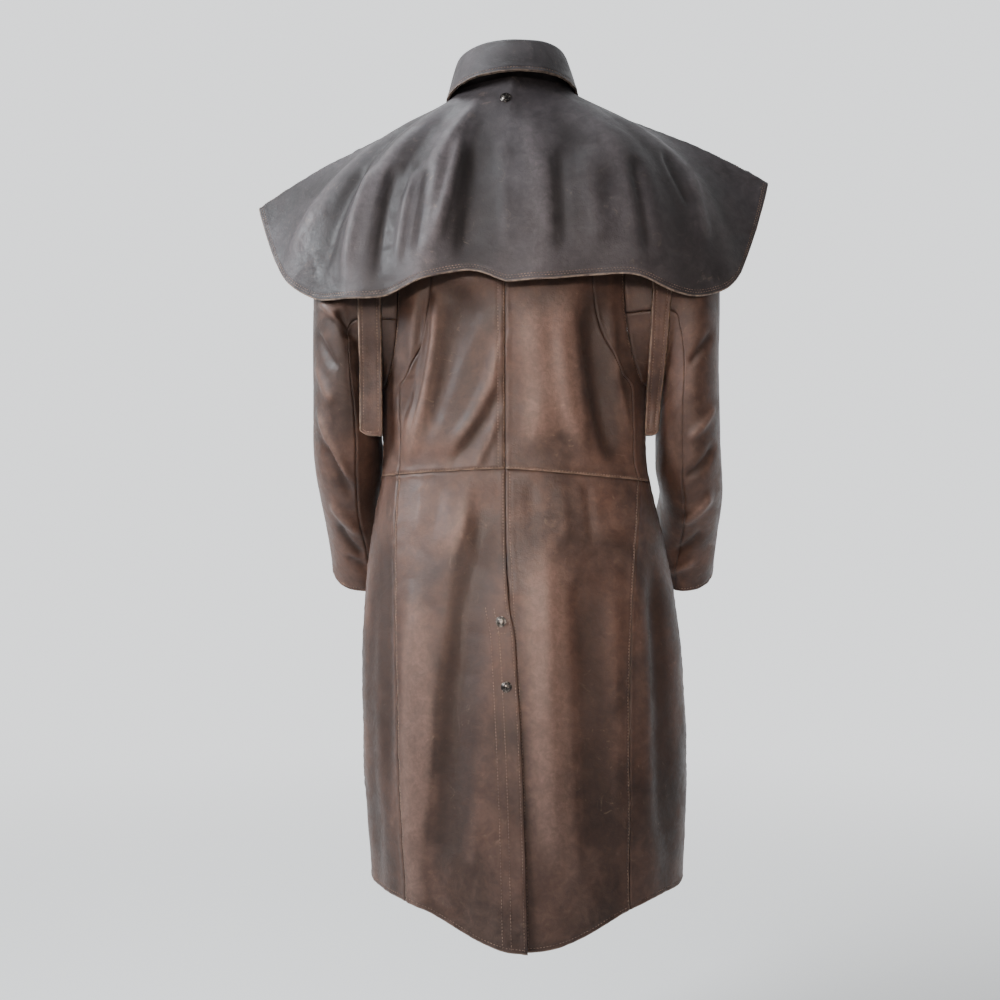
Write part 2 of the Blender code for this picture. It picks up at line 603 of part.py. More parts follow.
def collar_panels(body):
    """Stand from the neck opening to just under the fold, and the fall that folds over outwards."""
    behind = np.linspace(0.0, 0.5, NECK_BACK_CELLS + 1)
    before = np.linspace(0.5, 1.0, NECK_FRONT_CELLS + 1)[1:-1]
    half = np.concatenate([behind, before])
    share = np.concatenate([-half[:0:-1], half])
    neck = neck_points(body)
    fold = collar_curve(share, "fold")
    edge = collar_curve(share, "edge")
    inward = fold * (1.0, 1.0, 0.0)
    inward = -inward / np.linalg.norm(inward, axis=-1, keepdims=True)
    seam = fold + inward * FOLD_RADIUS - (0.0, 0.0, 2.4 * FOLD_RADIUS)
    rows = np.linspace(0.0, 1.0, 5)[:, None, None]
    stand = neck + (seam - neck) * rows
    crown = [seam]
    for turn in np.radians((180.0, 130.0, 90.0, 50.0, 0.0)):
        crown.append(fold - inward * FOLD_RADIUS * math.cos(turn)
                     + np.array((0.0, 0.0, FOLD_RADIUS)) * (math.sin(turn) - 1.0))
    outer = crown[-1]
    for t in (0.33, 0.67, 1.0):
        crown.append(outer + (edge - outer) * t + np.array((0.0, 0.0, 3.0)) * math.sin(math.pi * t))
    return {"collar_stand": stand, "collar_fall": np.stack(crown)}


def grid_normals(points):
    """Unit normal at each grid point, from the cross product of its two grid directions."""
    across = np.gradient(points, axis=1)
    along = np.gradient(points, axis=0)
    normals = np.cross(across, along)
    return normals / np.linalg.norm(normals, axis=-1, keepdims=True)


def shared_normals(grids, flipped):
    """Normals of all grids, averaged where border points of different grids meet at a seam."""
    normals = {name: grid_normals(points) * (-1.0 if name in flipped else 1.0)
               for name, points in grids.items()}
    masks = {name: border_mask(points) for name, points in grids.items()}
    places = np.concatenate([grids[name][masks[name]] for name in grids])
    directions = np.concatenate([normals[name][masks[name]] for name in grids])
    for name, mask in masks.items():
        apart = np.linalg.norm(grids[name][mask][:, None] - places[None], axis=-1)
        together = (apart < SAME_POINT) @ directions
        normals[name][mask] = together / np.linalg.norm(together, axis=-1, keepdims=True)
    return normals


def border_mask(points):
    """True at the border points of a grid."""
    mask = np.ones(points.shape[:2], bool)
    mask[1:-1, 1:-1] = False
    return mask


def trimmed(points):
    """Moves the grid's border inwards by half a seam gap."""
    out = points.copy()
    for line, inner in ((np.s_[0, :], np.s_[1, :]), (np.s_[-1, :], np.s_[-2, :]),
                        (np.s_[:, 0], np.s_[:, 1]), (np.s_[:, -1], np.s_[:, -2])):
        step = points[inner] - points[line]
        out[line] += step / np.linalg.norm(step, axis=-1, keepdims=True) * SEAM_GAP / 2.0
    return out


def wall_mesh(name, points, normals, wall=WALL):
    """Closed wall with the grid as its outer face and the same grid moved inwards as its inner one.

    Each edge cell is cut in two from whichever of its outer corners ranks lower, so that the walls on
    both sides of a seam are cut alike and stay apart where the wall twists.
    """
    outer = trimmed(points)
    inner = outer - normals * wall
    rows, columns = points.shape[:2]
    index = np.arange(rows * columns).reshape(rows, columns)
    a, b = index[:-1, :-1], index[:-1, 1:]
    c, d = index[1:, 1:], index[1:, :-1]
    top = np.stack([a, b, c, d], -1).reshape(-1, 4)
    border = np.concatenate([index[0, :-1], index[:-1, -1], index[-1, :0:-1], index[:0:-1, 0]])
    following = np.roll(border, -1)
    shift = rows * columns
    ranks = outer.reshape(-1, 3) @ RIM_CUT
    falls = ranks[border] > ranks[following]
    first = np.stack([following, border, np.where(falls, following, border) + shift], -1)
    second = np.stack([np.where(falls, border, following), border + shift, following + shift], -1)
    faces = np.concatenate([top, top[:, ::-1] + shift]).tolist() + np.concatenate([first, second]).tolist()
    centre = (rows // 2, columns // 2)
    if grid_normals(points)[centre] @ normals[centre] < 0:
        faces = [face[::-1] for face in faces]
    mesh = bpy.data.meshes.new(name)
    vertices = np.concatenate([outer.reshape(-1, 3), inner.reshape(-1, 3)]) * MM
    mesh.from_pydata(vertices.tolist(), [], faces)
    mesh.update()
    return mesh


def material(name, color, roughness, metallic=0.0):
    """Principled material of one finish."""
    finish = bpy.data.materials.get(name) or bpy.data.materials.new(name)
    finish.use_nodes = True
    shader = finish.node_tree.nodes["Principled BSDF"]
    shader.inputs["Base Color"].default_value = (*color, 1.0)
    shader.inputs["Roughness"].default_value = roughness
    shader.inputs["Metallic"].default_value = metallic
    return finish


def add_piece(name, mesh, finish):
    """Puts a mesh into the coat's collection as its own named object."""
    mesh.materials.append(finish)
    piece = bpy.data.objects.new(name, mesh)
    bpy.data.collections[COAT].objects.link(piece)
    return piece


def surface_tree(grids):
    """Search tree over the outer faces of the grids, in millimetres."""
    vertices, faces = [], []
    for points in grids:
        rows, columns = points.shape[:2]
        index = np.arange(rows * columns).reshape(rows, columns) + len(vertices)
        quads = np.stack([index[:-1, :-1], index[:-1, 1:], index[1:, 1:], index[1:, :-1]], -1)
        vertices += points.reshape(-1, 3).tolist()
        faces += quads.reshape(-1, 4).tolist()
    return BVHTree.FromPolygons(vertices, faces)


def hit_along_y(tree, x, z, front):
    """Place and outward direction where a level line from behind or from before meets a surface."""
    start = Vector((x, RAY_START_Y if front else -RAY_START_Y, z))
    place, normal, _, _ = tree.ray_cast(start, Vector((0.0, -1.0 if front else 1.0, 0.0)))
    if place is None:
        return None, None
    if normal.y * (1.0 if front else -1.0) < 0:
        normal = -normal
    return place, normal


def strap_grid(row, tree):
    """A flat strip that hangs down behind the armhole, bridging the hollow beside the sleeve."""
    side, top_x, top_z, bottom_x, bottom_z, top_width, bottom_width = row
    across = np.linspace(-0.5, 0.5, STRAP_CELLS + 1)
    down = np.linspace(0.0, 1.0, STRAP_ROWS + 1)
    middle = top_x + (bottom_x - top_x) * down
    width = top_width + (bottom_width - top_width) * down
    height = top_z + (bottom_z - top_z) * down
    x = middle[:, None] + width[:, None] * across
    z = np.repeat(height[:, None], len(across), axis=1)
    z[-1] += STRAP_CORNER * np.clip(2.0 * side * across, 0.0, 1.0) ** 2
    probes = np.linspace(-STRAP_PROBE, STRAP_PROBE, 5)
    spans = np.linspace(-STRAP_PROBE_SPAN, STRAP_PROBE_SPAN, 9)
    reach = np.zeros(len(down))
    for i in range(len(down)):
        hits = [hit_along_y(tree, middle[i] + width[i] * span, height[i] + probe, front=False)[0]
                for span in spans for probe in probes]
        reach[i] = min(place.y for place in hits if place)
    smooth = np.minimum(reach, np.convolve(np.pad(reach, 1, mode="edge"), (0.25, 0.5, 0.25), "valid"))
    y = smooth - WALL - LAID_GAP
    return np.stack([x, np.repeat(y[:, None], len(across), axis=1), z], -1)


def vent_strip_grid():
    """The strip under both edges of the vent, made from the body's points moved inwards."""
    across = np.linspace(-VENT_STRIP_LEFT, 1.0 - VENT_STRIP_LEFT, VENT_STRIP_CELLS + 1) * VENT_STRIP
    heights = np.linspace(HEM_BACK_Z + VENT_STRIP_SHORT, VENT_TOP_Z + VENT_STRIP_ABOVE, SKIRT_ROWS - 1)
    z = heights[:, None] + np.zeros(len(across))
    lateral = np.broadcast_to(across, z.shape)
    angle = np.sign(lateral) * angle_at(lateral, z)
    return body_point(angle, z, out=-(WALL + LAID_GAP + VENT_STRIP_UNDER))


def snap_mesh(name):
    """Domed snap cap: a profile from its crown down to its flat back, turned about its axis."""
    radius = SNAP_DIAMETER / 2.0
    profile = ((0.0, SNAP_HEIGHT), (0.45 * radius, 0.92 * SNAP_HEIGHT), (0.8 * radius, 0.62 * SNAP_HEIGHT),
               (radius, 0.3 * SNAP_HEIGHT), (radius, 0.0), (0.0, 0.0))
    mesh = bpy.data.meshes.new(name)
    mesh.from_pydata([(r * MM, 0.0, z * MM) for r, z in profile], [(i, i + 1) for i in range(5)], [])
    return mesh


def add_snap(name, place, normal, finish):
    """A snap on a surface point, its axis along the surface normal."""
    piece = add_piece(name, snap_mesh(name), finish)
    turn = piece.modifiers.new("turn", "SCREW")
    turn.angle = 2.0 * math.pi
    turn.steps = SNAP_STEPS
    turn.render_steps = SNAP_STEPS
    turn.use_merge_vertices = True
    turn.merge_threshold = 0.0001
    piece.rotation_euler = Vector((0.0, 0.0, 1.0)).rotation_difference(normal).to_euler()
    piece.location = (Vector(place) + normal * LAID_GAP) * MM
    return piece


def inward_grids(grids):
    """Names of the grids whose grid normals point into the coat instead of out of it."""
    names = set()
    for name, points in grids.items():
        middle = (points.shape[0] // 2, points.shape[1] // 2)
        place = points[middle]
        core = np.array((0.0, 0.0, min(place[2], BODY_CORE_TOP_Z)))
        if name.startswith("sleeve"):
            rings = points[middle[0]]
            core = np.array((np.sign(place[0]) * SLEEVE_CORE_X, SLEEVE_CORE_Y, rings[:, 2].mean()))
        if grid_normals(points)[middle] @ (place - core) < 0:
            names.add(name)
    return names


def build():
    """Builds the whole coat."""
    for old in list(bpy.data.objects):
        bpy.data.objects.remove(old, do_unlink=True)
    collection = bpy.data.collections.new(COAT)
    bpy.context.scene.collection.children.link(collection)

    leather = material("brown_leather", (0.13, 0.085, 0.07), 0.5)
    cape_leather = material("cape_leather", (0.12, 0.095, 0.09), 0.42)
    edge_leather = material("strap_leather", (0.15, 0.09, 0.07), 0.6)
    dark_metal = material("snap_metal", (0.05, 0.05, 0.055), 0.3, 0.9)

    body = body_panels()
    sleeves = {word: sleeve_grid(side) for side, word in ((-1, "left"), (1, "right"))}
    sewn = dict(body)
    cells = sleeves["left"].shape[1] - 1
    for word, rings in sleeves.items():
        below_back, below_front = rings[:, :UNDER_SLEEVE_CELLS + 1], rings[:, cells - UNDER_SLEEVE_CELLS:-1]
        sewn["sleeve_under_" + word] = np.concatenate([below_front, below_back], axis=1)
        sewn["sleeve_upper_" + word] = rings[:, UNDER_SLEEVE_CELLS:cells - UNDER_SLEEVE_CELLS + 1]
    cape = cape_panels()
    collar = collar_panels(body)

    sewn["collar_stand"] = collar["collar_stand"]
    inward = inward_grids(sewn)
    normals = shared_normals(sewn, inward)
    for name, points in sewn.items():
        finish = cape_leather if name == "collar_stand" else leather
        add_piece(name, wall_mesh(name, points, normals[name]), finish)
    cape_normals = shared_normals(cape, inward_grids(cape))
    for name, points in cape.items():
        add_piece(name, wall_mesh(name, points, cape_normals[name]), cape_leather)
    fall = collar["collar_fall"]
    add_piece("collar_fall", wall_mesh("collar_fall", fall, grid_normals(fall)), cape_leather)

    behind = surface_tree([sewn[name] for name in sewn if name.startswith(("side", "back", "sleeve"))])
    for row in STRAPS:
        name = "armhole_strap_" + ("left" if row[0] < 0 else "right")
        grid = strap_grid(row, behind)
        facing = grid_normals(grid)
        facing *= -np.sign(facing[2, 2, 1])
        add_piece(name, wall_mesh(name, grid, facing), edge_leather)
    strip = vent_strip_grid()
    facing = grid_normals(strip)
    facing *= -np.sign(facing[2, 2, 1])
    add_piece("vent_strip", wall_mesh("vent_strip", strip, facing), leather)

    skirt = surface_tree([sewn["skirt_back_left"]])
    for number, (x, z) in enumerate(VENT_SNAPS, 1):
        place, normal = hit_along_y(skirt, x, z, front=False)
        add_snap(f"vent_snap_{number}", place, normal, dark_metal)
    place, normal = hit_along_y(surface_tree([cape["cape_back"]]), *CAPE_SNAP, front=False)
    add_snap("cape_snap", place, normal, dark_metal)
    closing = surface_tree([sewn["front_left"]])
    for number in range(FRONT_SNAPS):
        z = FRONT_SNAP_TOP_Z - number * FRONT_SNAP_PITCH
        place, normal = hit_along_y(closing, 0.0, z, front=True)
        add_snap(f"front_snap_{number + 1}", place, normal, dark_metal)


build()
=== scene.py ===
"""Looks of a long leather duster coat with a shoulder cape, in the hollow form it keeps while it is worn.

Each leather piece is a fine grid on the same worked-out surface as its solid, with soft creases added
along drawn lines. The grid is closed into a thin wall, thicker and rounder at finished edges. Grids are
in millimetres and become metres in the mesh. Stitch rows follow the borders at set distances.
"""

import math

import bpy
import numpy as np
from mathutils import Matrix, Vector
from mathutils.bvhtree import BVHTree


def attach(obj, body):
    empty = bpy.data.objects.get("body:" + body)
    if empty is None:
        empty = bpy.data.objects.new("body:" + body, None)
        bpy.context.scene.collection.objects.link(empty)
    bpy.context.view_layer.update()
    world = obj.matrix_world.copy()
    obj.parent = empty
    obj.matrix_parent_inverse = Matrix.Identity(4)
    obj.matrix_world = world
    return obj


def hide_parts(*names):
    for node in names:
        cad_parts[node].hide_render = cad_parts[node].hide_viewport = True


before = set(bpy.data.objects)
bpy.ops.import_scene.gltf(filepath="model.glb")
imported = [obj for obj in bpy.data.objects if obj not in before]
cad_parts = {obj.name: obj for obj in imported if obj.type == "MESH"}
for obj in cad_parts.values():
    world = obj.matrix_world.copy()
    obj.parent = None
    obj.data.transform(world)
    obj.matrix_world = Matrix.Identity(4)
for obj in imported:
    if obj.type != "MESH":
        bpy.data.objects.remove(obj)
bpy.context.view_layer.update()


def curves(columns, rows):
    """Cubic curves through the named columns of a table, read at values of its first column.

    Slopes are taken from the rows on both sides, and the curves stop at the table's ends.
    """
    columns, rows = columns.split(), np.array(rows, float)
    keys = rows[:, 0]

    def read(name, at):
        values = rows[:, columns.index(name)]
        slopes = np.gradient(values, keys)
        at = np.clip(np.asarray(at, float), keys[0], keys[-1])
        row = np.clip(np.searchsorted(keys, at) - 1, 0, len(keys) - 2)
        step = keys[row + 1] - keys[row]
        t = (at - keys[row]) / step
        start = (1 + 2 * t) * (1 - t) ** 2 * values[row] + t * (1 - t) ** 2 * step * slopes[row]
        return start + t * t * (3 - 2 * t) * values[row + 1] + t * t * (t - 1) * step * slopes[row + 1]

    return read


MM = 0.001
SIDES = ((-1, "left"), (1, "right"))

# Leather and grids
WALL = 1.8
SEAM_GAP = 0.3
LAID_GAP = 0.4
GRID_STEP = 4.6
NEAR_BORDER = (0.0, 0.8, 1.8, 3.0, 4.4, 6.0, 7.6, 9.4, 12.0)
EDGE_INSET = 1.0
HEM_THICKER = 1.3
HEM_DEPTH = 11.0
HEM_FADES = 3.0
EDGE_BULGE = 0.4

# Neck and shoulders
NECK_HALF_WIDTH = 88.0
NECK_BACK_Z = 0.0
NECK_FRONT_Z = -75.0
SHOULDER_TIP_X = 218.0
SHOULDER_NECK_Z = -2.0
SHOULDER_SLOPE = 0.415
SHOULDER_ROLL = 110.0
LEAN = 0.05
LEAN_STARTS_Z = -520.0
LEAN_FULL_Z = -150.0

# Body sections, with the half widths to each side and the half depths to back and front
SECTION_POWER = 0.87
SECTIONS = curves("z left right back front", [
    (-1190, 203, 247, 192, 162),
    (-1110, 205, 249, 187, 158),
    (-1000, 214, 254, 177, 152),
    (-900, 218, 253, 166, 147),
    (-800, 218, 247, 154, 141),
    (-700, 213, 234, 141, 134),
    (-610, 203, 216, 126, 125),
    (-535, 190, 199, 115, 117),
    (-440, 190, 196, 117, 119),
    (-330, 197, 200, 124, 121),
    (-220, 209, 210, 124, 116),
    (-120, 228, 228, 108, 101),
    (-60, 246, 246, 97, 91),
    (0, 260, 260, 90, 84),
    (40, 265, 265, 90, 80),
])

# How far the centre back stands to the side at each height
CENTRE_BACK = curves("z x", [
    (-1190, 13.5),
    (-1020, 9.5),
    (-880, 4),
    (-790, -1),
    (-720, -5.5),
    (-650, -9),
    (-535, -10),
    (0, -10),
])
CENTRE_FADE_FROM_Z = -90.0
CENTRE_FADE_SPAN = 160.0

# Heights of the waist seam and the hem, and the angles of the long seams from the centre back
WAIST_BACK_Z = -533.0
WAIST_DROP = {-1: 9.0, 1: 17.0}
HEM_SIDE_Z = -1120.0
HEM_BACK_Z = -1176.0
HEM_FRONT_Z = -1118.0
HEM_DIP_POWER = 9.0
BACK_SEAM_AT_WAIST = {-1: 55.0, 1: 62.0}
BACK_SEAM_AT_HEM = {-1: 44.0, 1: 34.5}
BACK_SEAM_BEND = 3.5
SIDE_SEAM_AT_WAIST = 80.0
SIDE_SEAM_AT_HEM = 88.0
PRINCESS_SHOULDER_X = 150.0
FRONT_LAP = 8.0
FRONT_LAP_LIFT = 3.4
FRONT_LAP_ENDS_X = 70.0
FRONT_LAP_FADES = 25.0

# Armhole on each side, as the angle and height of its back and front edges from underarm to tip
UNDERARM_Z = -420.0
UNDERARM_ROW = 2
BODY_ROWS = 10
ARMHOLE = curves("share back_angle front_angle back_z front_z", [
    (0, 80, 80, -420, -420),
    (0.125, 70, 94, -409, -408),
    (0.25, 58.5, 109, -373, -370),
    (0.375, 51.5, 122, -317, -312),
    (0.5, 48, 129, -250, -246),
    (0.75, 49.5, 129.5, -128, -126),
    (0.875, 53, 126, -84, -84),
    (1, 60, 120, -56, -56),
])

# Numbers of cells across the panels and down the skirt
BACK_CELLS = 8
NECK_BACK_CELLS = 5
SIDE_BACK_CELLS = 3
SKIRT_BACK_CELLS = 9
SKIRT_SIDE_CELLS = 5
NECK_FRONT_CELLS = 6
FRONT_CELLS = NECK_FRONT_CELLS + BACK_CELLS - NECK_BACK_CELLS + SIDE_BACK_CELLS
SKIRT_ROWS = 13

# Sleeve rings: x and z of the outer and of the inner line seen from behind, the half depth, the middle's
# y, the tilt, how far the right ring is moved out and the left ring's inner line in
SLEEVE_POWER = 0.9
SLEEVE = (
    (250, -92, 205, -415, 92, 0, 0, 3, 0),
    (276, -150, 208, -422, 94, 0, 0, 6, 0),
    (288, -225, 203, -438, 94, 1, 0, 11, 0),
    (291, -305, 202, -450, 91, 2, 0, 12, 3),
    (291, -385, 201, -474, 87, 5, 0, 12, 7.5),
    (292, -445, 200, -502, 83, 12, 6, 13.5, 8.5),
    (294, -505, 199, -535, 80, 27, 16, 16, 6.5),
    (290, -558, 196, -575, 74, 62, 28, 29, 0),
    (286, -614, 189, -622, 69, 108, 34, 33, 0),
    (281, -678, 181, -682, 64, 146, 36, 38, 0),
)
UNDER_SLEEVE_CELLS = 3
SLEEVE_WRAP = 4

# Shoulder cape: for each angle from the centre back, where it leans out and where its hem lies
CAPE_NECK_OUT = -1.0
CAPE_NECK_BACK_OUT = 9.0
CAPE_NECK_FRONT_OUT = 13.0
CAPE_RISE = 24.0
CAPE_RISE_LOST_IN_FRONT = 12.0
CAPE_SPREAD = 2.5
CAPE_STAND = 34.0
CAPE_SHIFT = -8.0
CAPE_FOLDS_START = 0.12
CAPE_ENDS = 168.0
CAPE = curves("angle over_x over_y over_z left_x left_y left_z right_x right_y right_z", [
    (0, 0, -140, -100, 0, -152, -280, 0, -152, -280),
    (12, 60, -140, -92, 54, -151, -261, 55, -151, -279),
    (25, 130, -138, -75, 125, -146, -276, 120, -147, -274),
    (38, 190, -128, -55, 180, -136, -292, 172, -139, -277),
    (50, 235, -112, -42, 235, -117, -292, 225, -120, -295),
    (62, 262, -88, -36, 285, -90, -281, 276, -95, -298),
    (74, 268, -55, -34, 328, -56, -243, 322, -62, -270),
    (84, 250, -22, -32, 358, -22, -176, 360, -22, -188),
    (90, 230, 0, -30, 373, 0, -130, 378, 0, -130),
    (98, 240, 28, -32, 360, 28, -170, 362, 28, -176),
    (110, 250, 66, -36, 330, 72, -228, 332, 72, -232),
    (125, 225, 102, -48, 270, 112, -272, 270, 112, -275),
    (140, 170, 128, -75, 190, 138, -285, 190, 138, -286),
    (155, 104, 140, -110, 105, 152, -282, 105, 152, -282),
    (CAPE_ENDS, 50, 146, -140, 42, 158, -272, 42, 158, -272),
])
CAPE_ROWS = 9
CAPE_BACK_CELLS = 15
CAPE_FRONT_CELLS = 10

# Collar: heights and reach of the fold line and of the fall's edge round the neck
FOLD_RADIUS = 4.0
COLLAR_MIDDLE_ROWS = 14
COLLAR = curves("share fold_x fold_y fold_z edge_x edge_y edge_z", [
    (0, 0, -66, 79, 0, -93, 25),
    (0.17, 41, -57, 77, 50, -81, 23),
    (0.33, 70, -33, 70, 83, -49, 17),
    (0.5, 81, 4, 55, 98, 2, 11),
    (0.67, 72, 42, 28, 96, 66, -14),
    (0.83, 44, 72, -8, 68, 112, -52),
    (0.93, 19, 82, -34, 42, 128, -86),
])

# Straps that hang behind the armholes, as their middle line from top to bottom end
STRAPS = ((-1, -201, -205, -200, -486, 33.5, 33.5),
          (1, 213, -190, 201, -484, 32, 21))
STRAP_ROWS = 10
STRAP_CORNER = 8.0

# Vent at the centre back: the left edge laps over the right, with a facing strip under both
VENT_TOP_Z = -655.0
VENT_LAP = 6.0
VENT_LIFT = 3.4
VENT_OPENS = 55.0
VENT_FLARE = 5.0
VENT_STRIP = 34.0
VENT_STRIP_SPAN = (-0.75, 0.25)
VENT_STRIP_ENDS = (4.0, 30.0)
VENT_STRIP_UNDER = 2.0
VENT_BAR_Z = -754.0
VENT_BAR_ENDS = (7.0, 33.0)

# Snaps: places on the back, the cape and down the front
SNAP_RADIUS = 7.5
VENT_SNAPS = ((-16.0, -741.0), (-9.0, -828.0))
CAPE_SNAP = (-10.0, -10.0)
FRONT_SNAPS = 6
FRONT_SNAP_TOP_Z = -150.0
FRONT_SNAP_PITCH = 112.0
SNAP_STEPS = 40
# A cap's profile: share of its radius and height in millimetres, from its top to its base
SNAP_PROFILE = ((0.0, 3.3), (0.18, 3.27), (0.36, 3.12), (0.5, 2.86), (0.62, 2.5), (0.7, 2.12),
                (0.735, 1.86), (0.76, 1.8), (0.8, 1.84), (0.88, 1.9), (0.95, 1.7), (1.0, 1.25),
                (1.0, 0.7), (0.96, 0.2), (0.9, 0.0))

# Long soft folds of the body: angle and height of both ends, width to the left and right, depth outwards
BODY_FOLDS = (
    (-33, -240, -48, -520, 4, 5, 4.5),
    (-23, -230, -38, -460, 6, 13, -5),
    (-3, -300, -30, -500, 4, 8, 3),
    (22, -250, 24, -480, 9, 9, 4),
    (33, -240, 42, -520, 6, 8, -4.5),
    (-20, -560, -26, -1100, 7, 13, -6),
    (-34, -640, -40, -1170, 6, 6, 5),
    (-9, -560, -14, -1120, 4, 6, 2.5),
    (14, -560, 17, -1140, 11, 6, 2.5),
    (29, -560, 30, -1170, 7, 12, -2.5),
    (-66, -600, -66, -1150, 8, 8, -5),
    (58, -600, 56, -1150, 8, 8, -5),
    (-116, -620, -112, -1150, 8, 8, -6),
    (118, -620, 114, -1150, 8, 8, -6),
    (-144, -560, -140, -1150, 8, 8, 5),
    (146, -580, 142, -1150, 8, 8, 5),
    (-150, -180, -136, -500, 7, 7, -4),
    (150, -180, 136, -500, 7, 7, -4),
)

# Radial folds of the cape: angle, width to the left and right, depth outwards, and where along the cape
# it is deepest
CAPE_FOLDS = (
    (-13, 5, 13, -6, 0.62),
    (-24, 4, 4.5, 8, 0.55),
    (-36, 4.5, 5, -5.5, 0.7),
    (-47, 3.5, 5.5, 5.5, 0.7),
    (-60, 5, 5, -7, 0.75),
    (-72, 4, 5.5, 4.5, 0.75),
    (8, 6, 6, 4, 0.6),
    (24, 6, 8, -4, 0.65),
    (38, 7, 7, 4, 0.7),
    (55, 6, 7, -4.5, 0.75),
    (72, 5, 5, 3.5, 0.75),
    (-112, 7, 7, -5, 0.7),
    (-136, 7, 7, 5, 0.7),
    (112, 7, 7, -5, 0.7),
    (136, 7, 7, 5, 0.7),
)

# Creases: top end, middle and low end in x and z, the width to their left and right, and the height
BACK_CREASES = (
    (-105, -270, -114, -391, -148, -528, 6, 11, 5.5),
    (-127, -278, -138, -385, -156, -470, 6, 6, -3.6),
    (-66, -262, -84, -384, -122, -500, 15, 44, -4),
    (-20, -340, -40, -432, -100, -514, 9, 12, 2.8),
    (-20, -418, -46, -473, -93, -532, 5, 12, -2.4),
    (-16, -446, -38, -500, -57, -538, 4, 7, 1.8),
    (-31, -500, -35, -518, -41, -535, 4, 4, -1.5),
    (-79, -510, -82, -524, -86, -539, 4, 4, -1.2),
    (21, -288, 35, -411, 24, -528, 22, 22, 3),
    (99, -274, 117, -411, 150, -535, 14, 14, -5),
    (138, -281, 144, -397, 175, -507, 8, 8, 2.5),
    (65, -301, 76, -425, 109, -535, 12, 12, 2),
    (-30, -560, -62, -760, -82, -1070, 15, 30, -3.6),
    (-62, -556, -98, -760, -118, -1090, 26, 15, 4),
    (44, -600, 48, -851, 54, -1098, 26, 16, 3),
    (92, -660, 98, -880, 108, -1125, 14, 30, -3.2),
    (140, -658, 144, -851, 146, -1098, 14, 10, 1.2),
    (-176, -603, -178, -782, -171, -1043, 10, 10, -4),
    (195, -658, 202, -851, 202, -1070, 9, 9, -3),
    (-127, -549, -130, -583, -136, -638, 8, 9, 0.7),
    (-99, -549, -103, -583, -111, -638, 8, 10, -0.7),
    (-59, -546, -64, -583, -70, -658, 9, 9, 0.8),
    (24, -546, 26, -583, 29, -658, 9, 9, -0.8),
    (65, -549, 69, -583, 73, -645, 8, 8, 0.8),
    (103, -551, 106, -583, 111, -638, 6, 6, -1.5),
)
FRONT_CREASES = (
    (-150, -170, -120, -300, -60, -440, 8, 12, -4),
    (-110, -200, -90, -330, -48, -500, 10, 8, 3.5),
    (150, -170, 122, -300, 66, -450, 12, 8, -4),
    (108, -210, 92, -340, 52, -510, 8, 10, 3.5),
    (-40, -470, -52, -540, -70, -640, 7, 9, -3),
    (44, -470, 54, -540, 74, -640, 9, 7, -3),
    (-90, -600, -100, -800, -118, -1090, 14, 14, -5),
    (-50, -640, -55, -850, -66, -1090, 12, 12, 3.5),
    (92, -610, 104, -820, 124, -1090, 14, 14, -5),
    (48, -650, 56, -860, 68, -1090, 12, 12, 3.5),
    (-150, -560, -158, -760, -168, -1060, 10, 12, 3),
    (150, -570, 162, -780, 184, -1070, 12, 10, 3),
)
CAPE_CREASES = (
    (-50, -78, -58, -166, -66, -251, 9, 42, -4.6),
    (-67, -57, -80, -139, -106, -228, 7, 9, 5),
    (-110, -98, -118, -166, -128, -251, 6, 9, -4),
    (-134, -98, -145, -166, -156, -259, 6, 8, 4),
    (-161, -98, -177, -173, -188, -282, 6, 11, -4.5),
    (-122, -92, -139, -119, -156, -150, 3, 6, -2.2),
    (-204, -84, -240, -150, -266, -259, 11, 12, -5),
    (-190, -90, -214, -165, -230, -276, 7, 9, 4.5),
    (-263, -136, -291, -173, -311, -221, 10, 10, 3.5),
    (42, -84, 50, -166, 56, -251, 12, 14, 1.6),
    (67, -78, 73, -166, 78, -251, 10, 10, -3),
    (98, -84, 112, -166, 120, -251, 15, 22, 4.2),
    (163, -98, 180, -173, 190, -262, 9, 9, -4.5),
    (212, -84, 234, -132, 258, -187, 5, 9, -4),
    (242, -125, 262, -173, 272, -241, 9, 9, 3.5),
    (-12, -57, -6, -139, -2, -251, 10, 12, 1.2),
)
SLEEVE_CREASES = (
    (-277, -294, -248, -320, -220, -351, 4, 8, 3.5),
    (-248, -311, -234, -331, -223, -351, 7, 7, -5),
    (-280, -434, -257, -505, -225, -559, 4, 7, 3),
    (-271, -491, -251, -530, -228, -576, 8, 5, -4),
    (-280, -377, -268, -412, -251, -441, 6, 6, 2.5),
    (-268, -576, -248, -604, -223, -633, 5, 8, 3.5),
    (-262, -604, -243, -640, -220, -661, 6, 6, -3.5),
    (-280, -334, -265, -362, -245, -394, 7, 5, -3),
    (-254, -661, -237, -670, -217, -683, 5, 5, -2.5),
    (288, -334, 267, -362, 244, -388, 6, 6, -3),
    (291, -434, 270, -469, 244, -491, 6, 6, 3),
    (293, -491, 273, -526, 241, -548, 7, 5, -4),
    (290, -562, 273, -590, 247, -612, 5, 8, 3.5),
    (287, -619, 267, -644, 241, -656, 6, 6, -3.5),
    (281, -664, 261, -678, 239, -687, 5, 5, 2.5),
)
CREASE_STEPS = 20
CREASE_TAPER = 0.24
BODY_CREASE_GAIN = 1.7
CAPE_CREASE_GAIN = 1.35
SLEEVE_CREASE_GAIN = 1.8
CREASES_FADE_Y = 45.0

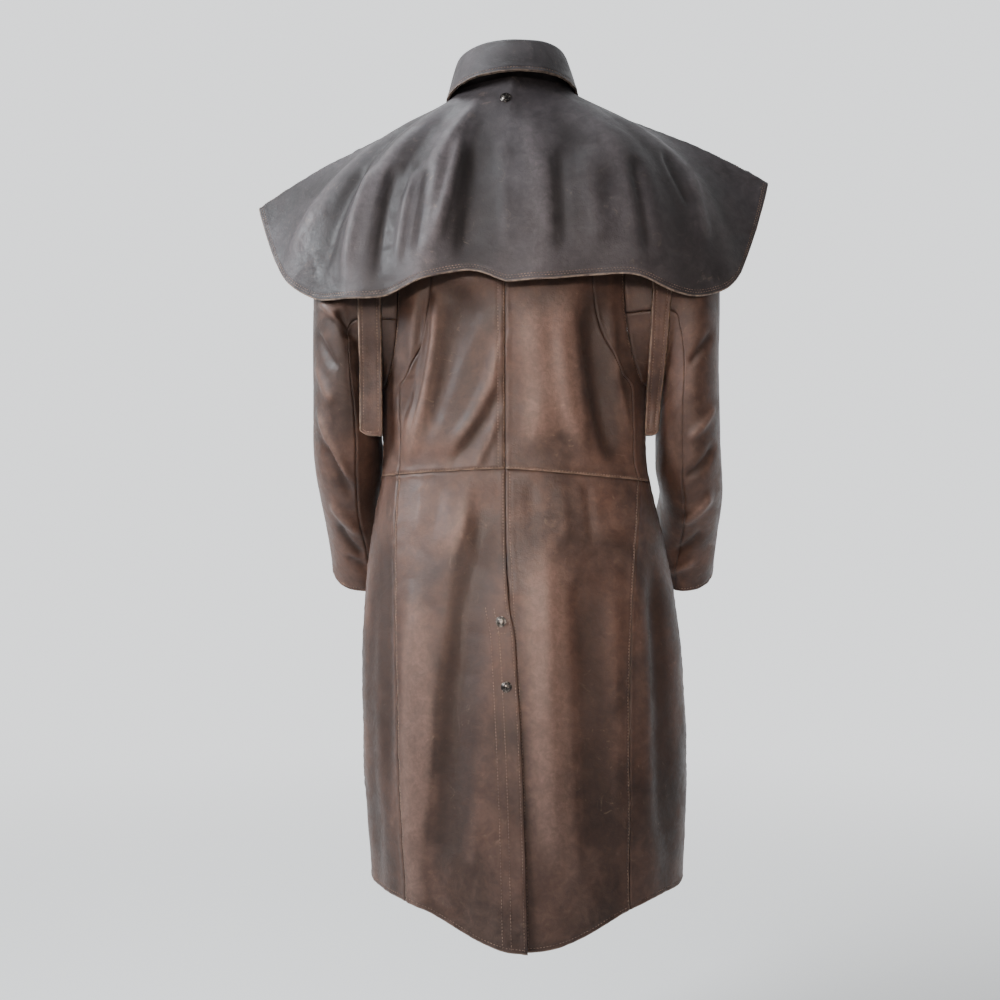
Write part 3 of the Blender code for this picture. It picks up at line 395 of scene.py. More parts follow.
# Ways a border is finished: how deep it dips, whether it is a finished edge, and its stitch rows
BORDERS = {
    "plain": (0.7, False, ()),
    "sewn": (0.8, False, (3.2,)),
    "welt": (1.7, False, (2.6, 10.5)),
    "edge": (0.5, True, (6.0,)),
    "hem": (0.5, True, (5.0, 8.2)),
    "vent": (0.5, True, (3.4, 21.0, 33.0)),
    "vent_under": (0.5, True, (6.0,)),
    "placket": (0.5, True, (5.0, 30.0)),
    "hidden": (0.3, False, ()),
}
WORN_SEAMS = ("sewn", "welt")
WORN_EDGES = ("edge", "hem", "placket")
JOINED = ("plain", "sewn", "welt")
SEAM_TUCK = 1.8
AT_BORDER = 0.5
FAR_AWAY = 1e3

# The vent's far rows are sewn only below a height, and their furrows fade there
VENT_KINDS = ("vent", "vent_under")
VENT_ROWS_FROM = 20.0
VENT_ROWS_TOP_Z = -716.0
VENT_ROWS_FADE = 12.0

# Relief beside borders and stitch rows, in millimetres: height, distance from the line, and width
DIP_WIDTH = 1.5
SWELL = (0.5, 4.0, 2.8)
FURROW = (0.45, 1.3)
ROW_SWELL = (0.3, 4.0, 2.4)
PUCKER = (0.45, 11.0)

# For each kind of piece: how its first row, last row, first column and last column are finished, how it is
# held, and what it hangs from or lies on, where a name ending in _ goes on with the piece's own side. A
# name takes the first row that it starts with.
PIECES = {
    "back_upper_left": ("sewn plain welt plain", "hung", "collar_stand"),
    "back_upper": ("sewn plain plain plain", "hung", "collar_stand"),
    "side_upper": ("sewn plain plain sewn", "hung", "back_upper_"),
    "skirt_back_left": ("edge plain vent sewn", "hung", "back_upper_"),
    "skirt_back": ("edge plain vent_under sewn", "hung", "back_upper_"),
    "skirt_side": ("edge plain plain plain", "hung", "side_upper_"),
    "front": ("edge plain placket plain", "hung", "collar_stand"),
    "sleeve": ("plain edge plain plain", "hung", "side_upper_"),
    "cape_back": ("hidden hem plain plain", "draped", "back_upper_left back_upper_right"),
    "cape_front_left": ("hidden hem hem sewn", "draped", "front_"),
    "cape_front": ("hidden hem sewn hem", "draped", "front_"),
    "collar_stand": ("plain hidden edge edge", "gathered", "back_upper_left back_upper_right"),
    "collar_fall": ("hidden edge edge edge", "folded", "collar_stand"),
    "armhole_strap": ("hidden edge edge edge", "hung", "side_upper_"),
    "vent_strip": ("edge hidden edge edge", "hung", "skirt_back_left skirt_back_right"),
}

# Stitches
STITCH_PITCH = 4.4
STITCH_LENGTH = 3.3
STITCH_RADIUS = 0.48
STITCH_MARGIN = 3.0

# Leathers: name of the material, its dark, middle, dust and tan colours, and its roughness. The dark colour
# is also painted as shade in fold troughs, and the dust colour as a highlight on fold ridges
LEATHERS = {
    "brown_leather": ("body_leather", (0.024, 0.0112, 0.0068), (0.064, 0.0305, 0.02),
                      (0.13, 0.076, 0.058), (0.27, 0.175, 0.12), 0.56),
    "cape_leather": ("cape_leather", (0.017, 0.0128, 0.0125), (0.039, 0.032, 0.034),
                     (0.083, 0.07, 0.072), (0.27, 0.19, 0.14), 0.58),
    "strap_leather": ("strap_leather", (0.032, 0.015, 0.0095), (0.074, 0.036, 0.024),
                      (0.14, 0.08, 0.06), (0.27, 0.18, 0.125), 0.58),
}

# Camera, in metres, and lights: name, place, point they aim at, size, watts, colour and spread in degrees
CAMERA_PLACE = (-0.0176, -1.9, -0.576)
CAMERA_LENS = 46.5
LIGHTS = (
    ("window_light", (-2.2, -1.15, 0.8), (-0.05, -0.1, -0.3), 1.1, 165.0, (0.9, 0.95, 1.0), 180.0),
    ("room_light", (-0.5, -2.9, 0.0), (0.02, -0.1, -0.55), 0.6, 1.9, (1.0, 0.85, 0.75), 18.0),
    ("fill_light", (0.6, -2.9, -0.5), (0.0, 0.0, -0.6), 1.6, 4.0, (1.0, 0.84, 0.74), 180.0),
    ("top_light", (-0.7, 0.2, 1.9), (0.0, 0.0, -0.2), 1.0, 36.0, (0.9, 0.95, 1.0), 180.0),
)

# The surroundings glow from dim behind the camera to bright beyond the coat, and the far floor like them
HEADINGS = (-0.5, 0.85)
GLOW = (0.24, 1.6)
ROOM_COLOUR = (0.96, 0.98, 1.0, 1.0)
FLOOR_Z = -1.5
FLOOR_REACH = 60.0
FLOOR_FADES = (0.9, 3.4)


def ease(value):
    """Soft step from 0 to 1."""
    value = np.clip(value, 0.0, 1.0)
    return value * value * (3.0 - 2.0 * value)


def bell(value):
    """Bell curve with its top at 0."""
    return np.exp(-value * value)


def unit(vectors):
    """Vectors scaled to length 1."""
    return vectors / np.linalg.norm(vectors, axis=-1, keepdims=True)


def steps(points, axis):
    """Distances between neighbouring points along one axis."""
    return np.linalg.norm(np.diff(points, axis=axis), axis=-1)


def reach_in(points):
    """Distance of each grid point from the first column, along its row."""
    return np.pad(steps(points, 1).cumsum(axis=1), ((0, 0), (1, 0)))


def shoulder_height(x):
    """Height of the shoulder line over a place across the coat."""
    return SHOULDER_NECK_Z - SHOULDER_SLOPE * (np.abs(x) - NECK_HALF_WIDTH)


def leaned(points):
    """The left shoulder hangs a little lower than the right one."""
    share = ease((points[..., 2] - LEAN_STARTS_Z) / (LEAN_FULL_Z - LEAN_STARTS_Z))
    out = points.copy()
    out[..., 2] += LEAN * out[..., 0] * share
    return out


def half_width(side, z):
    """Half width of the body's section to one side."""
    return np.where(side < 0, SECTIONS("left", z), SECTIONS("right", z))


def fold_relief(angle, z):
    """Sum of soft ridges and troughs, each a bell across a slanted line and tapered at its ends."""
    total = np.zeros(np.broadcast(angle, z).shape)
    for top_angle, top_z, low_angle, low_z, left, right, depth in BODY_FOLDS:
        along = (top_z - z) / (top_z - low_z)
        middle = top_angle + (low_angle - top_angle) * np.clip(along, 0.0, 1.0)
        taper = ease(along / 0.25) * ease((1.12 - along) / 0.3)
        total += depth * taper * bell((angle - middle) / np.where(angle < middle, left, right))
    return total


def body_point(angle, z, out=0.0):
    """Superellipse section at height z, its depth rolled in under the shoulder line, then leaned.

    angle is in degrees from the centre back, negative to the left; out moves the point outwards.
    """
    return leaned(section_point(angle, z, out))


def section_point(angle, z, out=0.0):
    """The body's section before its lean."""
    angle = np.asarray(angle, float)
    z = np.asarray(z, float)
    side = np.sin(np.radians(angle))
    back = np.cos(np.radians(angle))
    depth = np.where(back > 0, SECTIONS("back", z), SECTIONS("front", z))
    grown = out + fold_relief(angle, z)
    across = np.sign(side) * np.abs(side) ** SECTION_POWER
    along = np.sign(back) * np.abs(back) ** SECTION_POWER
    x = (half_width(side, z) + grown) * across
    under = np.clip((shoulder_height(x) - z) / SHOULDER_ROLL, 0.0, 1.0)
    y = -(depth + grown) * along * np.sqrt(1.0 - (1.0 - under) ** 2)
    swing = CENTRE_BACK("x", z)
    swing = swing * ease((CENTRE_FADE_FROM_Z - z) / CENTRE_FADE_SPAN)
    x = x + swing * np.clip(back, 0.0, 1.0) ** 3
    return np.stack([x, y, np.broadcast_to(z, x.shape)], axis=-1)


def angle_at(x, z):
    """Angle from the centre back at which the section at height z reaches the distance x."""
    share = np.clip(np.abs(x) / half_width(np.sign(x), z), 0.0, 1.0)
    return np.degrees(np.arcsin(share ** (1.0 / SECTION_POWER)))


def waist_height(angle, side):
    """Height of the waist seam, a little lower at the sides."""
    return WAIST_BACK_Z - WAIST_DROP[side] * np.abs(np.sin(np.radians(angle)))


def hem_height(angle):
    """Height of the coat's hem, which dips at the centre back."""
    back = np.cos(np.radians(angle))
    dip = (HEM_BACK_Z - HEM_SIDE_Z) * np.clip(back, 0.0, 1.0) ** HEM_DIP_POWER
    rise = (HEM_FRONT_Z - HEM_SIDE_Z) * np.clip(-back, 0.0, 1.0)
    return HEM_SIDE_Z + dip + rise


def armhole_edge(front):
    """Angles and heights of one edge of the armhole, from the underarm up to the shoulder tip."""
    share = np.linspace(0.0, 1.0, BODY_ROWS - UNDERARM_ROW + 1)
    name = "front" if front else "back"
    angle = ARMHOLE(name + "_angle", share)
    z = ARMHOLE(name + "_z", share)
    tip_z = shoulder_height(SHOULDER_TIP_X)
    tip = angle_at(SHOULDER_TIP_X, tip_z)
    angle[-1] = 180.0 - tip if front else tip
    z[-1] = tip_z
    return angle, z


def neckline(share):
    """Angle and height of the neck opening: share 0 at the back, 0.5 at the side, 1 at the front."""
    turn = np.pi * np.asarray(share, float)
    x = NECK_HALF_WIDTH * np.sin(turn)
    low = np.where(share > 0.5, -np.cos(turn), 0.0)
    z = SHOULDER_NECK_Z * np.sin(turn) + (NECK_FRONT_Z - NECK_BACK_Z) * low
    z = np.minimum(z, shoulder_height(x))
    angle = angle_at(x, z)
    return np.where(share > 0.5, 180.0 - angle, angle), z


def patch(low, high, near, far):
    """Grid between four edges: the straight blends of both pairs, less the blend of the corners."""
    v = np.linspace(0.0, 1.0, len(near))[:, None, None]
    u = np.linspace(0.0, 1.0, len(low))[None, :, None]
    corners = ((1 - v) * ((1 - u) * low[0] + u * low[-1]) + v * ((1 - u) * high[0] + u * high[-1]))
    return (1 - v) * low + v * high + (1 - u) * near[:, None] + u * far[:, None] - corners


def upper_half(side, front):
    """Angle and height grid of one upper quarter of the body, from the centre to the armhole."""
    hole_angle, hole_z = armhole_edge(front)
    if front:
        middle = 180.0 + FRONT_LAP
        neck_share = np.linspace(1.0, 0.5, NECK_FRONT_CELLS + 1)
        low_angle = np.linspace(middle, SIDE_SEAM_AT_WAIST, FRONT_CELLS + 1)
    else:
        middle = 0.0
        neck_share = np.linspace(0.0, 0.5, NECK_BACK_CELLS + 1)
        seam = BACK_SEAM_AT_WAIST[side]
        low_angle = np.concatenate([np.linspace(middle, seam, BACK_CELLS + 1),
                                    np.linspace(seam, SIDE_SEAM_AT_WAIST, SIDE_BACK_CELLS + 1)[1:]])
    inner = np.linspace(NECK_HALF_WIDTH, PRINCESS_SHOULDER_X, BACK_CELLS - NECK_BACK_CELLS + 1)[1:]
    outer = np.linspace(PRINCESS_SHOULDER_X, SHOULDER_TIP_X, SIDE_BACK_CELLS + 1)[1:]
    shoulder_x = np.concatenate([inner, outer])
    neck_angle, neck_z = neckline(neck_share)
    seam_z = shoulder_height(shoulder_x)
    seam_angle = angle_at(shoulder_x, seam_z)
    if front:
        seam_angle = 180.0 - seam_angle
        neck_angle[-1] = 180.0 - neck_angle[-1]
        neck_angle[0] += FRONT_LAP
    high = np.stack([np.concatenate([neck_angle, seam_angle]), np.concatenate([neck_z, seam_z])], -1)
    low = np.stack([low_angle, waist_height(low_angle, side)], -1)
    rows = BODY_ROWS + 1
    near = low[0] + (high[0] - low[0]) * np.linspace(0.0, 1.0, rows)[:, None]
    side_z = np.linspace(low[-1, 1], UNDERARM_Z, UNDERARM_ROW + 1)[:-1]
    far = np.stack([np.concatenate([np.full(UNDERARM_ROW, SIDE_SEAM_AT_WAIST), hole_angle]),
                    np.concatenate([side_z, hole_z])], -1)
    return patch(low, high, near, far)


def skirt_columns(start_waist, end_waist, start_hem, end_hem, cells, side, start_bend=1.0, end_bend=1.0):
    """Angle and height grid of a skirt panel whose columns fan from the waist to the hem.

    An edge with a bend above 1 does most of its turning near the waist.
    """
    share = np.linspace(0.0, 1.0, cells + 1)
    down = np.linspace(0.0, 1.0, SKIRT_ROWS + 1)[:, None]
    start = start_hem + (start_waist - start_hem) * (1.0 - down) ** start_bend
    end = end_hem + (end_waist - end_hem) * (1.0 - down) ** end_bend
    angle = start + (end - start) * share
    waist, hem = angle[0], angle[-1]
    top = waist_height(waist, side)
    z = top + (hem_height(hem) - top) * down
    return np.stack([angle, z], -1)[::-1]


def body_patches():
    """Angle and height grids of the body's panels, rows from the hem or waist upwards."""
    grids = {}
    for side, word in SIDES:
        upper = upper_half(side, front=False)
        grids["back_upper_" + word] = upper[:, :BACK_CELLS + 1]
        grids["side_upper_" + word] = upper[:, BACK_CELLS:]
        seam, hem_seam = BACK_SEAM_AT_WAIST[side], BACK_SEAM_AT_HEM[side]
        grids["skirt_back_" + word] = skirt_columns(0.0, seam, 0.0, hem_seam, SKIRT_BACK_CELLS, side,
                                                    end_bend=BACK_SEAM_BEND)
        grids["skirt_side_" + word] = skirt_columns(seam, SIDE_SEAM_AT_WAIST, hem_seam, SIDE_SEAM_AT_HEM,
                                                    SKIRT_SIDE_CELLS, side, start_bend=BACK_SEAM_BEND)
        middle = 180.0 + FRONT_LAP
        lower = skirt_columns(middle, SIDE_SEAM_AT_WAIST, middle, SIDE_SEAM_AT_HEM, FRONT_CELLS, side)
        grids["front_" + word] = np.concatenate([lower[:-1], upper_half(side, front=True)])
    return grids


def resample(grid, at, axis):
    """Cubic curves through the grid's points along one axis, read at fractional places."""
    grid = np.moveaxis(grid, axis, 0)
    slopes = np.gradient(grid, axis=0)
    low = np.clip(np.floor(at).astype(int), 0, len(grid) - 2)
    t = (at - low).reshape((-1,) + (1,) * (grid.ndim - 1))
    start = (1 + 2 * t) * (1 - t) ** 2 * grid[low] + t * (1 - t) ** 2 * slopes[low]
    end = t * t * (3 - 2 * t) * grid[low + 1] + t * t * (t - 1) * slopes[low + 1]
    return np.moveaxis(start + end, 0, axis)


def fine_grid(grid, along, across):
    """The grid read at fractional places along both axes."""
    return resample(resample(grid, along, 0), across, 1)


def places(points, axis, start=0.0, end=None):
    """Fractional places of the fine lines along one axis: close at both borders, then evenly spaced."""
    lengths = steps(points, axis)
    end = points.shape[axis] - 1 if end is None else end
    length = float(np.median(lengths.sum(axis=axis))) * (end - start) / (points.shape[axis] - 1)
    near = np.array(NEAR_BORDER) * (end - start) / length
    count = max(2, round((length - 2 * NEAR_BORDER[-1]) / GRID_STEP))
    middle = np.linspace(start + near[-1], end - near[-1], count + 1)
    return np.concatenate([start + near[:-1], middle, end - near[-2::-1]])


def crease_relief(points, table):
    """Height of drawn creases: a bell across the distance to each bent line, tapered at its ends."""
    spot = points[..., ::2].reshape(-1, 2)
    total = np.zeros(len(spot))
    t = np.linspace(0.0, 1.0, CREASE_STEPS + 1)[:, None]
    for x0, z0, xm, zm, x1, z1, left, right, height in table:
        ends = np.array([(x0, z0), (x1, z1)])
        bend = 2.0 * np.array((xm, zm)) - ends.mean(axis=0)
        line = (1 - t) ** 2 * ends[0] + 2 * t * (1 - t) * bend + t * t * ends[1]
        reach = 3.0 * max(left, right)
        near = np.all((spot > line.min(axis=0) - reach) & (spot < line.max(axis=0) + reach), axis=1)
        if not near.any():
            continue
        step = np.diff(line, axis=0)
        away = spot[near][:, None] - line[:-1]
        share = np.clip((away * step).sum(-1) / (step * step).sum(-1), 0.0, 1.0)
        off = away - share[..., None] * step
        far = np.linalg.norm(off, axis=-1)
        best = far.argmin(axis=1)
        pick = np.arange(len(best))
        along = (best + share[pick, best]) / CREASE_STEPS
        turn = step[best, 0] * away[pick, best, 1] - step[best, 1] * away[pick, best, 0]
        width = np.where(turn > 0, right, left)
        taper = ease(along / CREASE_TAPER) * ease((1.0 - along) / CREASE_TAPER)
        total[near] += height * taper * bell(far[pick, best] / width)
    return total.reshape(points.shape[:-1])


def wave_set(seed, count, shortest, longest):
    """Directions, phases and heights of sine waves of mixed lengths, always the same for one seed."""
    draw = np.random.default_rng(seed)
    length = np.exp(draw.uniform(math.log(shortest), math.log(longest), count))
    direction = unit(draw.normal(size=(count, 3)))
    return direction * (2.0 * math.pi / length)[:, None], draw.uniform(0.0, 2.0 * math.pi, count)


SOFT_WAVES = wave_set(3, 18, 60.0, 190.0)
LINE_WAVES = wave_set(11, 14, 70.0, 170.0)
MASK_WAVES = wave_set(5, 10, 160.0, 420.0)
PUCKER_WAVES = wave_set(23, 16, 11.0, 26.0)
SOFT_HEIGHT = 0.55
MASK_GAIN = 0.9
LINE_DEPTH = 0.55
LINE_WIDTH = 0.16


def waving(points, waves):
    """Sum of the sine waves at each point, scaled to about -1 to 1."""
    vectors, phases = waves
    return np.sin(points @ vectors.T + phases).sum(axis=-1) / math.sqrt(len(phases))


def leather_relief(points):
    """Gentle undulation, and fine crease lines where one wave field crosses zero, thinned by a mask."""
    soft = SOFT_HEIGHT * waving(points, SOFT_WAVES)
    mask = ease(0.5 + MASK_GAIN * waving(points, MASK_WAVES))
    lines = bell(waving(points, LINE_WAVES) / LINE_WIDTH)
    return soft - LINE_DEPTH * mask * lines


def grid_normals(points):
    """Unit normal at each grid point, from the cross product of its two grid directions."""
    return unit(np.cross(np.gradient(points, axis=1), np.gradient(points, axis=0)))


def outward_normals(name, points):
    """Grid normals turned to face out of the coat."""
    normals = grid_normals(points)
    middle = (points.shape[0] // 2, points.shape[1] // 2)
    place = points[middle]
    core = np.array((0.0, 0.0, min(place[2], -150.0)))
    if name.startswith("sleeve"):
        core = np.array((np.sign(place[0]) * 246.0, 8.0, points[middle[0], :, 2].mean()))
    if name.startswith("armhole"):
        core = place + (0.0, 1.0, 0.0)
    if name == "collar_fall":
        middle = (-2, points.shape[1] // 2)
        place = points[middle]
        core = np.array((0.0, 0.0, place[2]))
    return normals if normals[middle] @ (place - core) > 0 else -normals


def border_views(points):
    """The grid turned so that each border in turn is its first column: rows, then columns."""
    return (points.swapaxes(0, 1), points[::-1].swapaxes(0, 1), points, points[:, ::-1])


def back_to_grid(view, which):
    """Undoes one of the turns of border_views."""
    if which == 0:
        return view.swapaxes(0, 1)
    if which == 1:
        return view.swapaxes(0, 1)[::-1]
    return view if which == 2 else view[:, ::-1]


def border_distances(points):
    """Millimetres from each grid point to each of the four borders, along the grid lines."""
    return [back_to_grid(reach_in(view), which) for which, view in enumerate(border_views(points))]


def finished_where(kind, z):
    """Where a border of this kind is a finished edge: all along, or on the vent's only below its top."""
    return BORDERS[kind][1] & ((z < VENT_TOP_Z) | (kind not in VENT_KINDS))


def border_relief(points, kinds, distances):
    """Dip at the border, a soft swell beside it, a furrow under each stitch row, and small puckers."""
    total = np.zeros(points.shape[:2])
    nearest = np.full(points.shape[:2], FAR_AWAY)
    for kind, distance in zip(kinds, distances):
        dip, _, rows = BORDERS[kind]
        total -= dip * bell(distance / DIP_WIDTH)
        if kind == "hidden":
            continue
        total += SWELL[0] * bell((distance - SWELL[1]) / SWELL[2])
        for row in rows:
            long_row = kind in VENT_KINDS and row > VENT_ROWS_FROM
            here = ease((VENT_ROWS_TOP_Z - points[..., 2]) / VENT_ROWS_FADE) if long_row else 1.0
            total -= FURROW[0] * here * bell((distance - row) / FURROW[1])
            total += ROW_SWELL[0] * here * bell((distance - row - ROW_SWELL[1]) / ROW_SWELL[2])
        nearest = np.minimum(nearest, distance)
    return total + PUCKER[0] * bell(nearest / PUCKER[1]) * waving(points, PUCKER_WAVES)


BORDER_LINES = ((np.s_[0, :], np.s_[1, :]), (np.s_[-1, :], np.s_[-2, :]),
                (np.s_[:, 0], np.s_[:, 1]), (np.s_[:, -1], np.s_[:, -2]))


def stepped_in(points):
    """Directions from each border point towards the grid's inside, zero elsewhere."""
    inward = np.zeros_like(points)
    for line, inner in BORDER_LINES:
        inward[line] += unit(points[inner] - points[line])
    return inward


def seam_allowance(points, kinds):
    """Shift of the inner wall's sewn borders, which reach under the neighbouring piece."""
    shift = np.zeros_like(points)
    for kind, (line, inner) in zip(kinds, BORDER_LINES):
        joined = (kind in JOINED) | ((kind in VENT_KINDS) & (points[line][..., 2] > VENT_TOP_Z))
        shift[line] -= SEAM_TUCK * unit(points[inner] - points[line]) * np.reshape(joined, (-1, 1))
    return shift


def add_object(name, data):
    """Object made from its data and linked to the scene."""
    made = bpy.data.objects.new(name, data)
    bpy.context.scene.collection.objects.link(made)
    return made


def new_object(name, vertices, faces, finishes, finish_of_face=None):
    """Mesh object from points in millimetres and a list or array of faces."""
    mesh = bpy.data.meshes.new(name)
    mesh.from_pydata((vertices * MM).tolist(), [], faces if isinstance(faces, list) else faces.tolist())
    for finish in finishes:
        mesh.materials.append(finish)
    if finish_of_face is not None:
        mesh.polygons.foreach_set("material_index", finish_of_face)
    mesh.polygons.foreach_set("use_smooth", np.ones(len(mesh.polygons), bool))
    mesh.update()
    piece = add_object(name, mesh)
    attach(piece, "root")
    return piece


def set_attribute(mesh, name, values):
    """One number for each vertex, read by the leather's material."""
    mesh.attributes.new(name, "FLOAT", "POINT").data.foreach_set("value", values.astype(np.float32))


def leather_wall(name, points, kinds, finishes, fold_height):
    """Closed wall: the grid with its border finishes outside, the same grid moved inwards inside.

    Between both runs a middle ring, pushed out at finished edges so that they are round. fold_height is
    kept on the vertices with the distances to finished edges and to seams, for the material.
    """
    distances = border_distances(points)
    normals = outward_normals(name, points)
    points = points + normals * (leather_relief(points) + border_relief(points, kinds, distances))[..., None]
    normals = outward_normals(name, points)
    finished = [finished_where(kind, points[..., 2]) for kind in kinds]

    def nearest(chosen):
        """Distance to the nearest of the chosen borders."""
        return np.minimum.reduce([np.where(pick, far, FAR_AWAY) for pick, far in zip(chosen, distances)])

    worn, rubbed = (nearest([kind in group for kind in kinds]) for group in (WORN_SEAMS, WORN_EDGES))
    edge, seam = nearest(finished), nearest([~done for done in finished])
    inward = stepped_in(points)
    points = points + inward * np.where(edge < AT_BORDER, EDGE_INSET, SEAM_GAP / 2.0)[..., None]
    thick = WALL + HEM_THICKER * ease((HEM_DEPTH - edge) / HEM_FADES)
    inner = points - normals * thick[..., None]
    tucked = inner + seam_allowance(points, kinds)

    rows, columns = points.shape[:2]
    index = np.arange(rows * columns).reshape(rows, columns)
    top = np.stack([index[:-1, :-1], index[:-1, 1:], index[1:, 1:], index[1:, :-1]], -1).reshape(-1, 4)
    border = np.concatenate([index[0, :-1], index[:-1, -1], index[-1, :0:-1], index[:0:-1, 0]])
    ring = 2 * rows * columns + np.arange(len(border))
    outer_flat, inner_flat = points.reshape(-1, 3), inner.reshape(-1, 3)
    push = (edge.ravel()[border] < AT_BORDER) * EDGE_BULGE
    bulge = -inward.reshape(-1, 3)[border] * (thick.ravel()[border] * push)[:, None]
    middle = (outer_flat[border] + inner_flat[border]) / 2.0 + bulge
    shift = rows * columns
    after, ring_after = np.roll(border, -1), np.roll(ring, -1)
    rim_out = np.stack([after, border, ring, ring_after], -1)
    rim_in = np.stack([ring_after, ring, border + shift, after + shift], -1)
    faces = np.concatenate([top, top[:, ::-1] + shift, rim_out, rim_in])
    centre = (rows // 2, columns // 2)
    if grid_normals(points)[centre] @ normals[centre] < 0:
        faces = faces[:, ::-1]
    kinds_of_face = np.concatenate([np.zeros(len(top), int), np.ones(len(top), int),
                                    np.zeros(len(rim_out) + len(rim_in), int)])
    vertices = np.concatenate([outer_flat, tucked.reshape(-1, 3), middle])
    piece = new_object(name + "_leather", vertices, faces, finishes, kinds_of_face)
    for word, field in (("edge_mm", rubbed), ("seam_mm", seam), ("worn_mm", worn), ("fold_mm", fold_height)):
        flat = field.ravel()
        set_attribute(piece.data, word, np.concatenate([flat, flat, flat[border]]))
    return piece, points, normals


def iso_line(points, normals, offset):
    """Line at a set distance from the grid's first column, with the normals along it."""
    reach = reach_in(points)
    low = np.clip((reach < offset).sum(axis=1) - 1, 0, points.shape[1] - 2)
    row = np.arange(len(points))
    share = ((offset - reach[row, low]) / (reach[row, low + 1] - reach[row, low]))[:, None]
    line = points[row, low] * (1 - share) + points[row, low + 1] * share
    facing = normals[row, low] * (1 - share) + normals[row, low + 1] * share
    return line, unit(facing)


def stitch_shape():
    """One stitch along its own x: three rings of five points and two ends that dive into the leather."""
    turn = np.arange(5) * 2.0 * np.pi / 5
    rings = [np.stack([np.full(5, along * STITCH_LENGTH), size * np.cos(turn) * STITCH_RADIUS,
                       (size * np.sin(turn) + lift) * STITCH_RADIUS], -1)
             for along, size, lift in ((-0.34, 0.85, 0.05), (0.0, 1.0, 0.45), (0.34, 0.85, 0.05))]
    ends = np.array([(end * STITCH_LENGTH, 0.0, -0.9 * STITCH_RADIUS) for end in (-0.5, 0.5)])
    faces = []
    for i in range(5):
        j = (i + 1) % 5
        faces += [(i, i + 5, j + 5, j), (i + 5, i + 10, j + 10, j + 5), (15, i, j), (16, j + 10, i + 10)]
    return np.concatenate(rings + [ends]), faces


STITCH, STITCH_FACES = stitch_shape()


def stitches_along(line, facing):
    """Stitches at even pitch along a line of points, each turned to the line and lying on the surface."""
    run = np.pad(steps(line, 0).cumsum(), (1, 0))
    count = int((run[-1] - 2 * STITCH_MARGIN) / STITCH_PITCH)
    if count < 1:
        return np.zeros((0, 3))
    at = STITCH_MARGIN + (np.arange(count) + 0.5) * STITCH_PITCH

    def read(values, where):
        return np.stack([np.interp(where, run, values[:, k]) for k in range(3)], -1)

    place = read(line, at)
    along = unit(read(line, at + STITCH_LENGTH / 2) - read(line, at - STITCH_LENGTH / 2))
    up = read(facing, at)
    up = unit(up - (up * along).sum(-1, keepdims=True) * along)
    across = np.cross(up, along)
    frames = np.stack([along, across, up], axis=1)
    return (place[:, None] + STITCH @ frames).reshape(-1, 3)


def sew(name, points, normals, kinds, thread):
    """All stitch rows of one piece as one mesh."""
    runs = []
    for kind, grid, facing in zip(kinds, border_views(points), border_views(normals)):
        for offset in BORDERS[kind][2]:
            line, up = iso_line(grid, facing, offset)
            if kind in VENT_KINDS and offset > VENT_ROWS_FROM:
                below = line[:, 2] < VENT_ROWS_TOP_Z
                line, up = line[below], up[below]
            runs.append((line, up))
    if name == "skirt_back_left":
        row = np.abs(points[:, 0, 2] - VENT_BAR_Z).argmin()
        reach = np.linalg.norm(points[row] - points[row, 0], axis=-1)
        inside = (reach > VENT_BAR_ENDS[0]) & (reach < VENT_BAR_ENDS[1])
        runs.append((points[row][inside], normals[row][inside]))
    vertices = np.concatenate([np.zeros((0, 3))] + [stitches_along(*run) for run in runs])
    if not len(vertices):
        return None
    base = np.arange(0, len(vertices), len(STITCH))[:, None, None]
    faces = []
    for size in (3, 4):
        kind = np.array([face for face in STITCH_FACES if len(face) == size])
        faces += (kind + base).reshape(-1, size).tolist()
    return new_object(name + "_stitching", vertices, faces, [thread])


